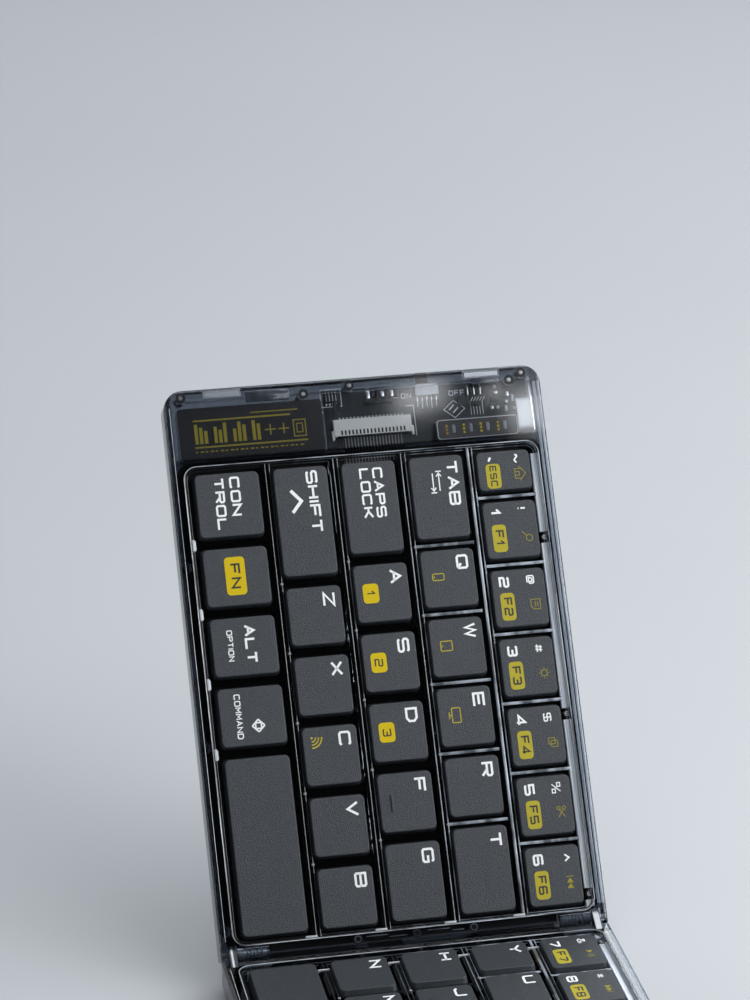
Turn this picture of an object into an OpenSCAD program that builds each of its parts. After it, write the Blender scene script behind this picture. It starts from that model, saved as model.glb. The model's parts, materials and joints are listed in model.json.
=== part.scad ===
// Folding keyboard. Two halves with smoky transparent shells turn on a hinge with two shafts.
// One half lies flat on its feet, and the other leans open above it, as a laptop's lid does.
// Sizes of one half are counted from its hinge shaft: s runs outwards, y to the back, z up.

/* [Keys] */
// Distance from one key to the next along a row
pitch_x = 18; // [17:0.1:18.6]
// Distance from one row of keys to the next
pitch_y = 17.81; // [17:0.01:19]
// Space between two key tops along a row
gap_x = 3.25; // [2.9:0.05:4]
// Space between two rows of key tops
gap_y = 3.95; // [3.4:0.05:5]
// Depth of the key tops in the row nearest the user
front_key_depth = 16.45; // [13:0.05:19]
// How far a key's side leans out from its top to its skirt
key_draft = 0.55; // [0.2:0.05:0.8]
// Corner radius of a key top
key_corner = 1.3; // [0.8:0.1:2.4]
// Height of a key cap
cap_height = 2.6; // [2.2:0.05:2.8]
// Thickness of a key cap's top
cap_top = 1; // [0.8:0.05:1.2]
// Thickness of a key cap's sides at the top
cap_wall = 0.8; // [0.6:0.05:1.1]
// Travel of a key
key_travel = 1.2; // [0.8:0.05:1.25]
// How far the key tops lie below the rim
key_sink = 0.3; // [0.1:0.05:0.6]
// Distance from the hinge shaft to the nearest key top
key_start = 3.86; // [3.5:0.02:6]
// Length of the left half's key field, in key pitches
left_units = 6.745; // [6.6:0.005:6.9]
// Length of the right half's key field, in key pitches
right_units = 7.71; // [7.5:0.01:7.8]
// Radius of the plunger under a key
plunger_r = 0.7; // [0.5:0.05:0.9]
// Radius of the guide tube under a key cap
guide_r = 1.5; // [1.3:0.05:1.9]
// Radial play of the plunger in its guide tube
plunger_play = 0.08; // [0.05:0.01:0.1]
// Radius of a rubber dome
dome_r = 2.8; // [2.2:0.1:3.4]

/* [Case] */
// Thickness of one half without its feet
half_thickness = 8; // [7.8:0.1:9]
// Height of the rim above the hinge shaft, which is also the radius of the half's round nose
nose_r = 2.3; // [2.2:0.05:2.6]
// Space between the key tops and the well's front and back walls
well_gap_y = 2.8; // [2.4:0.05:4]
// Space between the last key top and the well's outer wall
well_gap_x = 2.4; // [2:0.05:3.5]
// Width of the nose between the shaft and the well
nose_rim = 1.62; // [1.5:0.02:2]
// Width of the back rim
back_rim = 2.8; // [2.8:0.05:4]
// Width of the front rim
front_rim = 3.3; // [2.8:0.05:4.5]
// Length of the electronics bay beyond the left half's keys
bay_length = 20.2; // [20:0.1:26]
// Corner radius of the case, seen from above
case_corner = 5.5; // [4:0.1:8]
// Corner radius of the key well
well_corner = 3.4; // [2:0.1:5]
// Radius of the case's upper edges
top_edge_r = 1; // [0.4:0.05:1.3]
// Radius of the case's lower edges
bottom_edge_r = 1.2; // [0.6:0.05:1.5]
// Height of the seam between the shells, below the hinge shaft
seam_drop = 1; // [0.8:0.05:1.1]
// Wall of the bottom shell
wall = 1.4; // [1.2:0.05:1.6]
// Floor of the bottom shell
floor_t = 1; // [0.8:0.05:1.2]
// Thickness of the window over the electronics
window_t = 1; // [0.7:0.05:1.2]
// Width of the ribs between the keys of a row
rib_x = 1.1; // [0.8:0.05:1.3]
// Width of the ribs between the rows
rib_y = 1.7; // [1.2:0.05:1.9]
// How far the ribs' tops lie below the rim
rib_sink = 1.4; // [1:0.05:2]
// Play between pieces that fit beside each other
fit_gap = 0.2; // [0.15:0.01:0.25]

/* [Hinge] */
// Angle by which the left half leans up from flat
fold = 57; // [10:1:120]
// Distance between the two hinge shafts, beyond twice the nose radius
nose_gap = 0.2; // [0.15:0.05:0.6]
// Radius of a hinge shaft
shaft_r = 0.75; // [0.6:0.05:0.9]
// Radial play of a shaft in the link plate
shaft_play = 0.04; // [0.02:0.01:0.08]
// Radius of the link plates' rounded ends
plate_r = 2; // [1.8:0.05:2.1]
// Thickness of a link plate
plate_t = 1.9; // [1.4:0.05:2.4]
// Thickness of the case's ears outside the link plates
ear_t = 1.87; // [1.5:0.01:2.4]
// Thickness of the spine bar between the halves
spine_t = 1.6; // [1.2:0.05:1.8]
// Number of friction washers on each shaft
washers = 5; // [3:1:6]
// Length of the leaf by which a hinge bracket is screwed down
leaf_length = 12; // [8:0.5:20]
// Width of a hinge bracket's leaf
leaf_width = 8.5; // [6:0.5:9]
// Thickness of a hinge bracket
bracket_t = 0.6; // [0.5:0.05:0.8]

/* [Plates and screws] */
// Thickness of the steel plate that carries the keys
plate_under_keys = 0.4; // [0.3:0.05:0.5]
// Thickness of the key matrix sheet
matrix_t = 0.3; // [0.2:0.05:0.4]
// Distance from the hinge shaft to the first pair of case screws
screw_first = 5.9; // [5.5:0.1:9]
// Distance between the case screws along the rims
screw_pitch = 46.4; // [40:0.1:48]
// Distance from the case's side to a screw's axis
screw_inset = 1.9; // [1.8:0.05:2.1]
// Radius of a screw's shank
screw_r = 0.6; // [0.5:0.05:0.65]
// Radius of a screw's head
screw_head_r = 1; // [0.9:0.05:1.1]
// Radius of a screw boss
boss_r = 1.35; // [1.25:0.05:1.5]

/* [Electronics] */
// Length of the battery, from front to back
battery_depth = 37.6; // [30:0.1:38]
// Width of the battery
battery_width = 13.6; // [10:0.1:13.6]
// Thickness of the main board
board_t = 0.8; // [0.6:0.05:1]
// Length of the ribbon connector
connector_length = 20.5; // [16:0.1:24]
// Width of the ribbon cable
ribbon_width = 16; // [12:0.5:18]
// Length of the indicator panel
panel_length = 21.8; // [16:0.1:24]
// Width of the indicator panel
panel_width = 5.6; // [4:0.1:6]
// Width of the charging port
port_width = 8.94; // [8.9:0.01:9.2]
// Height of the charging port
port_height = 3.16; // [3:0.01:3.4]
// Depth of the charging port
port_depth = 6.5; // [5:0.1:7.5]
// Width of the power switch's knob
knob_width = 3; // [2:0.1:4]
// Travel of the power switch
knob_travel = 2; // [1:0.1:3]
// Length of a closing magnet
magnet_length = 9; // [6:0.1:10]
// Width of a closing magnet
magnet_width = 1.3; // [1:0.05:1.3]

/* [Feet] */
// How far the feet stand out below the case
foot_height = 0.8; // [0.7:0.05:2]
// Length of a foot, from front to back
foot_length = 26; // [12:1:34]
// Width of a foot
foot_width = 5; // [4:0.5:7]
// Depth of the recess that a foot sits in
foot_recess = 0.3; // [0.2:0.05:0.5]

/* [Hidden] */
// Widths of the keys after the first one of each row, in key pitches, in typing order
LEFT_REST = [[1, 1, 1, 1, 1, 1], [1, 1, 1, 1, 1.372], [1, 1, 1, 1, 1.245],
    [1, 1, 1, 1, 1], [1, 1, 1, 2.655]];
// Widths of the keys before the last one of each row, in key pitches, in typing order
RIGHT_REST = [[1, 1, 1, 1, 1, 1], [0.86, 1, 1, 1, 1, 1, 1], [1, 1, 1, 1, 1, 1],
    [1, 1, 1, 1, 1, 1], [2.71, 1, 1, 1, 1]];
LEFT_KEYS = [
    ["key_backquote", "key_1", "key_2", "key_3", "key_4", "key_5", "key_6"],
    ["key_tab", "key_q", "key_w", "key_e", "key_r", "key_t"],
    ["key_caps", "key_a", "key_s", "key_d", "key_f", "key_g"],
    ["key_shift", "key_z", "key_x", "key_c", "key_v", "key_b"],
    ["key_control", "key_fn", "key_alt", "key_meta", "key_left_space"]];
RIGHT_ROWS = ["right_keys_row_1", "right_keys_row_2", "right_keys_row_3",
    "right_keys_row_4", "right_keys_row_5"];
ROWS = len(LEFT_REST);

function sum_to(list, n) = n <= 0 ? 0 : list[n - 1] + sum_to(list, n - 1);
function left_widths(row) =
    concat([left_units - sum_to(LEFT_REST[row], len(LEFT_REST[row]))], LEFT_REST[row]);
function right_widths(row) =
    concat(RIGHT_REST[row], [right_units - sum_to(RIGHT_REST[row], len(RIGHT_REST[row]))]);
function arc(cx, cy, r, from, to, n = 6) =
    [for (i = [0:n]) let (a = from + (to - from) * i / n) [cx + r * cos(a), cy + r * sin(a)]];
function round_box(s0, y0, s1, y1, r, n = 6) = concat(
    arc(s0 + r, y0 + r, r, 180, 270, n), arc(s1 - r, y0 + r, r, 270, 360, n),
    arc(s1 - r, y1 - r, r, 0, 90, n), arc(s0 + r, y1 - r, r, 90, 180, n));

// Key field and case
row_depth = pitch_y - gap_y;
left_field = left_units * pitch_x - gap_x;
right_field = right_units * pitch_x - gap_x;
case_depth = (ROWS - 1) * pitch_y + front_key_depth + 2 * well_gap_y + front_rim + back_rim;
back_y = case_depth / 2;
front_y = -back_y;
left_well_end = key_start + left_field + well_gap_x;
right_well_end = key_start + right_field + well_gap_x;
half_length = left_well_end + bay_length;
well_front = front_y + front_rim;
well_back = back_y - back_rim;
first_row_back = well_back - well_gap_y;

// Heights, counted from the hinge shaft
bottom_z = nose_r - half_thickness;
floor_z = bottom_z + floor_t;
seam_z = -seam_drop;
key_top_z = nose_r - key_sink;
skirt_z = key_top_z - cap_height;
rib_top_z = nose_r - rib_sink;
cap_inside_z = key_top_z - cap_top;
pressed_play = 0.4;
press_plate_top = skirt_z - key_travel - pressed_play;
press_plate_bottom = press_plate_top - plate_under_keys;
matrix_bottom = press_plate_bottom - matrix_t;
plunger_top = cap_inside_z - key_travel - 0.15;
guide_bottom = plunger_top + 0.25;
dome_top = guide_bottom - key_travel - 0.1;
board_top = seam_z - fit_gap;
window_z = nose_r - window_t;

// Hinge
shaft_gap = 2 * nose_r + nose_gap;
relief = nose_r - (spine_t / 2 - nose_gap / 2 + fit_gap);
relief_angle = 180 + acos(relief / nose_r);
slot_outer = back_y - ear_t;
plate_outer = slot_outer - fit_gap;
plate_inner = plate_outer - plate_t;
slot_inner = plate_inner - fit_gap;
knuckle_t = 2;
washer_pitch = 0.9;
washer_t = 0.5;
washer_r = 1.35;
knuckle_r = 1.5;
pocket_r = 1.75;
nut_t = 1.3;
knuckle_inner = slot_inner - fit_gap - knuckle_t;
shaft_inner = knuckle_inner - washers * washer_pitch - nut_t;
pocket_inner = shaft_inner - fit_gap;
pocket_wall = 0.5;
shaft_end = back_y - 0.9;
spine_top = -nose_r + 0.15;
spine_bottom = bottom_z + 0.2;

// Place of each half at rest. The origin is the middle of the whole object's base
link_angle = fold / 2;
shaft_height = foot_height - bottom_z;
reach_left = shaft_gap * cos(link_angle) + (half_length - bottom_edge_r) * cos(fold)
    - (bottom_z + bottom_edge_r) * sin(fold) + bottom_edge_r;
right_x = (reach_left - half_length) / 2;
left_x = right_x - shaft_gap * cos(link_angle);
left_z = shaft_height + shaft_gap * sin(link_angle);

// Electronics bay
bay_start = left_well_end + 1.6;
bay_rim = 3;
bay_corner = 1;
bay_end = half_length - bay_rim;
battery_s = bay_start + fit_gap;
battery_front = well_front + fit_gap;
board_front = battery_front + battery_depth + 0.8;
board_back = well_back - fit_gap - 0.5;
board_end = half_length - wall - 1.8;
bay_screws = [[half_length - 3.2, battery_front + battery_depth - 4.4],
    [half_length - screw_inset, board_front + 7], [half_length - 3.6, well_back - 5.4]];
connector_s = bay_start + 3.6;
connector_front = board_front + 1.9;
connector_w = 4.4;
connector_z = board_top + 1.6;
ribbon_front = connector_front + (connector_length - ribbon_width) / 2;
ribbon_t = 0.2;
ribbon_tail = 1.6;
ribbon_z = board_top + 0.3;
panel_back = well_back - 4.3;
panel_s = bay_start + fit_gap;
port_s = bay_start + 1.5;
port_z = board_top - board_t / 2;
port_back = back_y - 0.3;
knob_y = 18.6;
knob_z = board_top + 0.2;
knob_height = 1.2;
knob_out = 0.45;
switch_w = 2.3;
switch_length = 6.4;
switch_height = 1.5;
switch_s = board_end - switch_w;
magnet_y = [-34.2, 34.2];
magnet_s = half_length - 0.95 - magnet_width;
magnet_top = nose_r - 1.1;
flex_y = -7.4;
flex_width = 9;
flex_t = 0.2;
foot_s = [foot_width / 2 + 0.6, half_length - 9];
foot_y = [-27, 27];
case_screws = concat(
    [for (i = [0:2], y = [front_y + screw_inset, back_y - screw_inset])
        [screw_first + i * screw_pitch, y]],
    [for (y = [front_y + 4.8, back_y - 4.8]) [half_length - screw_inset, y]]);

function row_back(row) = first_row_back - row * pitch_y;
function row_size(row) = row == ROWS - 1 ? front_key_depth : row_depth;
function row_y(row) = row_back(row) - row_size(row) / 2;
function left_key_s(row, j) = key_start + left_field
    - sum_to(left_widths(row), j) * pitch_x - key_w(left_widths(row)[j]) / 2;
function right_key_s(row, j) = key_start
    + sum_to(right_widths(row), j) * pitch_x + key_w(right_widths(row)[j]) / 2;
function key_w(units) = units * pitch_x - gap_x;
// Every key of a half as [s, y, width, depth]
LEFT_SPOTS = [for (r = [0:ROWS - 1], j = [0:len(left_widths(r)) - 1])
    [left_key_s(r, j), row_y(r), key_w(left_widths(r)[j]), row_size(r)]];
RIGHT_SPOTS = [for (r = [0:ROWS - 1], j = [0:len(right_widths(r)) - 1])
    [right_key_s(r, j), row_y(r), key_w(right_widths(r)[j]), row_size(r)]];

$fn = 48;
big = 400;

// Places a half's own frame on the desk
module on_right() translate([right_x, 0, shaft_height]) children();
module on_left() translate([left_x, 0, left_z]) rotate([0, fold, 0]) mirror([1, 0, 0]) children();
// Frame of the link: x from the left shaft to the right one, with its origin between them
module on_link() translate([(left_x + right_x) / 2, 0, (left_z + shaft_height) / 2])
    rotate([0, link_angle, 0]) children();
module both_ends() for (side = [-1, 1]) scale_y(side) children();
module scale_y(side) if (side < 0) mirror([0, 1, 0]) children(); else children();
module slab(s0, y0, z0, s1, y1, z1) translate([s0, y0, z0]) cube([s1 - s0, y1 - y0, z1 - z0]);
module prism(points, z0, z1) translate([0, 0, z0]) linear_extrude(z1 - z0) polygon(points);
module y_rod(r, y0, y1) translate([0, y1, 0]) rotate([90, 0, 0]) cylinder(r = r, h = y1 - y0);

// Outer form of one half: a flat slab with rounded edges and a round nose on the hinge shaft
module half_form() intersection() {
    prism(round_plan(), bottom_z - 1, nose_r + 1);
    rotate([90, 0, 0]) linear_extrude(big, center = true) polygon(side_profile());
    rotate([90, 0, 90]) linear_extrude(big, center = true) polygon(cross_profile());
}
function round_plan() = concat(
    arc(-nose_r + 1, front_y + 1, 1, 180, 270, 4),
    arc(half_length - case_corner, front_y + case_corner, case_corner, 270, 360, 10),
    arc(half_length - case_corner, back_y - case_corner, case_corner, 0, 90, 10),
    arc(-nose_r + 1, back_y - 1, 1, 90, 180, 4));
function side_profile() = concat(
    arc(0, 0, nose_r, 90, relief_angle, 14),
    arc(-relief + 0.8, bottom_z + 0.8, 0.8, 180, 270, 4),
    arc(half_length - bottom_edge_r, bottom_z + bottom_edge_r, bottom_edge_r, 270, 360, 5),
    arc(half_length - top_edge_r, nose_r - top_edge_r, top_edge_r, 0, 90, 5));
function cross_profile() = concat(
    arc(front_y + bottom_edge_r, bottom_z + bottom_edge_r, bottom_edge_r, 180, 270, 5),
    arc(back_y - bottom_edge_r, bottom_z + bottom_edge_r, bottom_edge_r, 270, 360, 5),
    arc(back_y - top_edge_r, nose_r - top_edge_r, top_edge_r, 0, 90, 5),
    arc(front_y + top_edge_r, nose_r - top_edge_r, top_edge_r, 90, 180, 5));

// Room for the link plates at both ends of a half's nose, and for its hinge hardware
module hinge_room() both_ends() {
    slab(-nose_r - 1, slot_inner, -plate_r - fit_gap, plate_r + fit_gap, slot_outer, nose_r + 1);
    y_rod(pocket_r, pocket_inner, slot_inner + 1);
    slab(-relief + pocket_wall, pocket_inner, floor_z, nose_rim + 0.1, slot_inner, 0);
    y_rod(shaft_r + fit_gap / 2, slot_inner, shaft_end + fit_gap);
}
// Screw holes, with room for the heads in the bottom
module screw_holes(spots) for (p = spots) translate([p[0], p[1], 0]) {
    translate([0, 0, bottom_z - 1]) cylinder(r = screw_r + 0.02, h = nose_r - 1 - bottom_z + 1);
    translate([0, 0, bottom_z - 1]) cylinder(r = screw_head_r + 0.1, h = 1.7);
}
module bosses(spots, z0, z1, r) for (p = spots)
    translate([p[0], p[1], z0]) cylinder(r = r, h = z1 - z0);
module magnet_room() for (y = magnet_y)
    slab(magnet_s - 0.1, y - magnet_length / 2 - 0.1, seam_z - 1,
        magnet_s + magnet_width + 0.1, y + magnet_length / 2 + 0.1, magnet_top + 0.05);

// Ribs between the keys, and the lip that presses on the key plate
module well_ribs(well_end, spots, end_room) {
    for (r = [0:ROWS - 2]) {
        y = row_back(r) - row_size(r) - gap_y / 2;
        slab(nose_rim - 0.3, y - rib_y / 2, press_plate_top, well_end + 0.3, y + rib_y / 2, rib_top_z);
    }
    for (k = spots) {
        s = k[0] + k[2] / 2 + gap_x / 2;
        y = k[1];
        if (s < end_room) slab(s - rib_x / 2, y - k[3] / 2 - gap_y / 2, press_plate_top,
            s + rib_x / 2, y + k[3] / 2 + gap_y / 2, rib_top_z - 0.02);
    }
}
module well_plan(well_end) polygon(round_box(nose_rim, well_front, well_end, well_back, well_corner));
module lip(well_end) translate([0, 0, press_plate_top]) linear_extrude(seam_z - press_plate_top + 0.2)
    difference() {
        polygon(round_box(-relief + wall, front_y + wall + fit_gap, well_end + 1.2,
            back_y - wall - fit_gap, case_corner - wall));
        well_plan(well_end);
    }
module top_shell(well_end, spots, screws) difference() {
    union() {
        difference() {
            intersection() {
                half_form();
                slab(-big, -big, seam_z, big, big, big);
            }
            translate([0, 0, seam_z - 1]) linear_extrude(big) well_plan(well_end);
        }
        difference() {
            lip(well_end);
            bosses(screws, bottom_z, seam_z, boss_r + fit_gap);
        }
        intersection() {
            well_ribs(well_end, spots, well_end - 2.5);
            prism(round_box(nose_rim - 0.3, well_front - 0.3, well_end + 0.3, well_back + 0.3, well_corner),
                press_plate_top, nose_r);
        }
    }
    hinge_room();
    screw_holes(screws);
    magnet_room();
}
module bottom_shell(well_end, screws) difference() {
    union() {
        difference() {
            intersection() {
                half_form();
                slab(-big, -big, -big, big, big, seam_z);
            }
            prism(round_box(-relief + pocket_wall, front_y + wall, half_length - wall, back_y - wall,
                case_corner - wall), floor_z, nose_r);
        }
        bosses(screws, floor_z - 0.1, seam_z, boss_r);
        for (r = [0:ROWS - 2]) {
            y = row_back(r) - row_size(r) - gap_y / 2;
            slab(leaf_length + 3, y - 0.5, floor_z - 0.1, well_end - 2, y + 0.5, matrix_bottom);
        }
    }
    hinge_room();
    screw_holes(screws);
    foot_rooms();
    slab(-relief - 1, flex_y - flex_width / 2 - 0.2, matrix_bottom - 0.1,
        0, flex_y + flex_width / 2 + 0.2, press_plate_bottom + 0.1);
}
module foot_rooms() for (s = foot_s, y = foot_y)
    prism(foot_plan(s, y), bottom_z - 1, bottom_z + foot_recess);
function foot_plan(s, y) = round_box(s - foot_width / 2, y - foot_length / 2,
    s + foot_width / 2, y + foot_length / 2, foot_width / 2 - 0.1, 5);

// Steel plate under the keys, and below it the matrix sheet with its rubber domes
module plate_outline(well_end, inset) difference() {
    polygon(round_box(0.1 + inset, front_y + wall + fit_gap + inset, well_end + 1.2 - inset,
        back_y - wall - fit_gap - inset, case_corner - wall));
    for (side = [-1, 1]) translate([-1, side > 0 ? pocket_inner - 0.3 : -back_y])
        square([knuckle_r + 0.4 + 1, back_y - pocket_inner + 0.3]);
}
module key_plate(well_end, spots, screws) difference() {
    translate([0, 0, press_plate_bottom]) linear_extrude(plate_under_keys)
        plate_outline(well_end, 0);
    for (k = spots) translate([k[0], k[1], press_plate_bottom - 1]) cylinder(r = dome_r + 0.2, h = 3);
    bosses(screws, bottom_z, nose_r, boss_r + fit_gap);
}
module key_matrix(well_end, spots, screws) {
    difference() {
        translate([0, 0, matrix_bottom]) linear_extrude(matrix_t) plate_outline(well_end, 0.4);
        bosses(screws, bottom_z, nose_r, boss_r + fit_gap);
    }
    slab(-relief + 0.2, flex_y - flex_width / 2, matrix_bottom, 1.5, flex_y + flex_width / 2,
        matrix_bottom + flex_t);
    for (k = spots) translate([k[0], k[1], press_plate_bottom - 0.05]) {
        cylinder(r = dome_r, h = dome_top - press_plate_bottom + 0.05);
        cylinder(r = plunger_r, h = plunger_top - press_plate_bottom + 0.05);
    }
}

// One key cap, hollow, with the tube that slides on its plunger
module key_cap(k) translate([k[0], k[1], 0]) {
    difference() {
        loft(cap_outline(k, key_draft), cap_outline(k, 0), skirt_z, key_top_z);
        slab(-k[2] / 2 + cap_wall, -k[3] / 2 + cap_wall, skirt_z - 1,
            k[2] / 2 - cap_wall, k[3] / 2 - cap_wall, cap_inside_z);
    }
    difference() {
        translate([0, 0, guide_bottom]) cylinder(r = guide_r, h = cap_inside_z - guide_bottom + 0.2);
        translate([0, 0, guide_bottom - 1])
            cylinder(r = plunger_r + plunger_play, h = cap_inside_z - guide_bottom + 1);
    }
}
function cap_outline(k, grow) = round_box(-k[2] / 2 - grow, -k[3] / 2 - grow,
    k[2] / 2 + grow, k[3] / 2 + grow, key_corner, 3);
// Solid between two outlines with as many points each
module loft(low, high, z0, z1) {
    n = len(low);
    polyhedron(concat([for (p = low) [p[0], p[1], z0]], [for (p = high) [p[0], p[1], z1]]),
        concat([[for (i = [0:n - 1]) i]], [[for (i = [n - 1:-1:0]) n + i]],
            [for (i = [0:n - 1]) [i, n + i, n + (i + 1) % n, (i + 1) % n]]));
}

// Hinge hardware of one half: at each end a shaft with its washers, nut and screwed bracket
module hinge_shafts() both_ends() {
    y_rod(shaft_r, shaft_inner, shaft_end);
    y_rod(knuckle_r, knuckle_inner, knuckle_inner + knuckle_t);
    for (i = [1:washers]) y_rod(washer_r, knuckle_inner - i * washer_pitch,
        knuckle_inner - i * washer_pitch + washer_t);
    y_rod(washer_r - 0.1, shaft_inner + 0.3, shaft_inner + 0.3 + nut_t);
    slab(-0.6, knuckle_inner, floor_z, 0.6, knuckle_inner + knuckle_t, 0);
    difference() {
        slab(-0.6, knuckle_inner + knuckle_t - leaf_width, floor_z, leaf_length,
            knuckle_inner + knuckle_t, floor_z + bracket_t);
        bosses(case_screws, bottom_z, nose_r, boss_r + fit_gap);
    }
}
// Two link plates, joined by the spine bar that hides the hinge from behind
module link_form() {
    both_ends() difference() {
        translate([0, plate_inner, 0]) {
            for (x = [-1, 1]) translate([x * shaft_gap / 2, 0, 0]) y_rod(plate_r, 0, plate_t);
            slab(-shaft_gap / 2, 0, -plate_r, shaft_gap / 2, plate_t, plate_r);
            slab(-spine_t / 2, 0, spine_bottom, spine_t / 2, plate_t, 0);
        }
        for (x = [-1, 1]) translate([x * shaft_gap / 2, 0, 0])
            y_rod(shaft_r + shaft_play, 0, back_y);
    }
    difference() {
        slab(-spine_t / 2, -plate_inner - 0.1, spine_bottom, spine_t / 2, plate_inner + 0.1, spine_top);
        flex_slot(spine_t, 0.1);
    }
}
module flex_slot(reach, play) slab(-reach, flex_y - flex_width / 2 - play, matrix_bottom - play,
    reach, flex_y + flex_width / 2 + play, matrix_bottom + flex_t + play);

module screws(spots) for (p = spots) translate([p[0], p[1], 0]) {
    difference() {
        translate([0, 0, bottom_z + 0.15]) cylinder(r = screw_head_r, h = 0.55);
        translate([0, 0, bottom_z]) cylinder(r = 0.5, h = 0.45, $fn = 6);
    }
    translate([0, 0, bottom_z + 0.6]) cylinder(r = screw_r, h = nose_r - 1.3 - bottom_z - 0.6);
}
module feet() for (s = foot_s, y = foot_y)
    prism(foot_plan(s, y), bottom_z - foot_height, bottom_z + foot_recess);
module magnets() for (y = magnet_y) slab(magnet_s, y - magnet_length / 2, seam_z,
    magnet_s + magnet_width, y + magnet_length / 2, magnet_top);

module right_top_shell() color([0.23, 0.25, 0.29, 0.6]) on_right()
    top_shell(right_well_end, RIGHT_SPOTS, case_screws);
module right_bottom_shell() color([0.2, 0.22, 0.26, 0.6]) on_right()
    bottom_shell(right_well_end, case_screws);
module right_key_plate() color([0.1, 0.1, 0.11]) on_right()
    key_plate(right_well_end, RIGHT_SPOTS, case_screws);
module right_key_matrix() color([0.15, 0.15, 0.16]) on_right()
    key_matrix(right_well_end, RIGHT_SPOTS, case_screws);
module right_hinge_shafts() color([0.75, 0.76, 0.78]) on_right() hinge_shafts();
module right_screws() color([0.6, 0.61, 0.63]) on_right() screws(case_screws);
module right_feet() color([0.08, 0.08, 0.09]) on_right() feet();
module right_magnets() color([0.8, 0.8, 0.82]) on_right() magnets();

module hinge_link() color([0.8, 0.81, 0.83]) on_link() link_form();
module hinge_flex() color([0.2, 0.23, 0.2]) on_link() flex_slot(spine_t / 2 + 0.1, 0);

module left_top_shell() color([0.23, 0.25, 0.29, 0.6]) on_left() difference() {
    union() {
        difference() {
            top_shell(left_well_end, LEFT_SPOTS, case_screws);
            bay_room();
        }
        bosses(bay_screws, seam_z, window_z + 0.1, boss_r);
    }
    screw_holes(bay_screws);
    port_room();
    knob_room();
}
// Hollow under the window, with the passage that the ribbon cable takes below the well's wall
module bay_room() {
    prism(round_box(bay_start, well_front, bay_end, well_back, bay_corner), -big / 2, window_z);
    slab(left_well_end - ribbon_tail - 0.4, ribbon_front - 0.3, -big / 2, bay_start + 1,
        ribbon_front + ribbon_width + 0.3, ribbon_z + ribbon_t + 0.2);
}
module port_room() slab(port_s - 0.05, well_back - 2, port_z - port_height / 2 - 0.05,
    port_s + port_width + 0.05, back_y + 1, port_z + port_height / 2 + 0.05);
module knob_room() slab(half_length - bay_rim - 1, knob_y - knob_width / 2 - 0.2,
    knob_z - knob_height / 2 - 0.1, half_length + 1,
    knob_y + knob_width / 2 + knob_travel + 0.2, knob_z + knob_height / 2 + 0.1);
module left_bottom_shell() color([0.2, 0.22, 0.26, 0.6]) on_left() difference() {
    union() {
        bottom_shell(left_well_end, case_screws);
        bosses(bay_screws, floor_z - 0.1, seam_z, boss_r);
        bosses(board_posts, floor_z - 0.1, board_top - board_t, 1.2);
        slab(battery_s, battery_front, floor_z - 0.1, battery_s + battery_width,
            battery_front + battery_depth, floor_z + 0.1);
    }
    screw_holes(bay_screws);
    port_room();
    knob_room();
}
board_posts = [[bay_start + 1.6, board_front + 2], [bay_start + 1.6, board_back - 6.5],
    [board_end - 2, board_front + 3], [board_end - 2, board_back - 14]];
module left_key_plate() color([0.1, 0.1, 0.11]) on_left()
    key_plate(left_well_end, LEFT_SPOTS, case_screws);
module left_key_matrix() color([0.15, 0.15, 0.16]) on_left()
    key_matrix(left_well_end, LEFT_SPOTS, case_screws);
module left_hinge_shafts() color([0.75, 0.76, 0.78]) on_left() hinge_shafts();
module left_screws() color([0.6, 0.61, 0.63]) on_left() screws(concat(case_screws, bay_screws));
module left_feet() color([0.08, 0.08, 0.09]) on_left() feet();
module left_magnets() color([0.8, 0.8, 0.82]) on_left() magnets();

module main_board() color([0.06, 0.08, 0.08]) on_left() {
    difference() {
        slab(bay_start + fit_gap, board_front, board_top - board_t, board_end, board_back, board_top);
        bosses(concat(case_screws, bay_screws), bottom_z, nose_r, boss_r + fit_gap);
        slab(port_s - 0.2, port_back - port_depth - 0.2, bottom_z, port_s + port_width + 0.2,
            back_y, nose_r);
    }
    slab(switch_s, knob_y - switch_length / 2 + 1, board_top, board_end,
        knob_y + switch_length / 2 + 1, board_top + switch_height);
    for (c = chips) slab(c[0], c[1], board_top, c[0] + c[2], c[1] + c[3], board_top + c[4]);
}
// Soldered chips as [s, y, size along s, size along y, height]
chips = [[board_end - 5.4, board_front + 2.6, 2.6, 1.8, 0.7],
    [board_end - 3.6, board_front + 11, 1.4, 7.4, 0.8],
    [bay_start + 9.6, knob_y + 9, 1.9, 1.1, 0.5],
    [bay_start + 9.2, knob_y + 12.5, 1.2, 2.4, 0.6]];
module battery() color([0.07, 0.07, 0.08]) on_left() difference() {
    prism(round_box(battery_s, battery_front, battery_s + battery_width,
        battery_front + battery_depth, bay_corner - fit_gap), floor_z + 0.1, window_z - 0.4);
    bosses(bay_screws, bottom_z, nose_r, boss_r + fit_gap);
}
module ribbon_connector() color([0.85, 0.82, 0.72]) on_left() difference() {
    slab(connector_s, connector_front, board_top, connector_s + connector_w,
        connector_front + connector_length, connector_z);
    slab(connector_s - 1, ribbon_front - 0.05, ribbon_z - 0.05, connector_s + 2.05,
        ribbon_front + ribbon_width + 0.05, ribbon_z + ribbon_t + 0.05);
}
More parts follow.
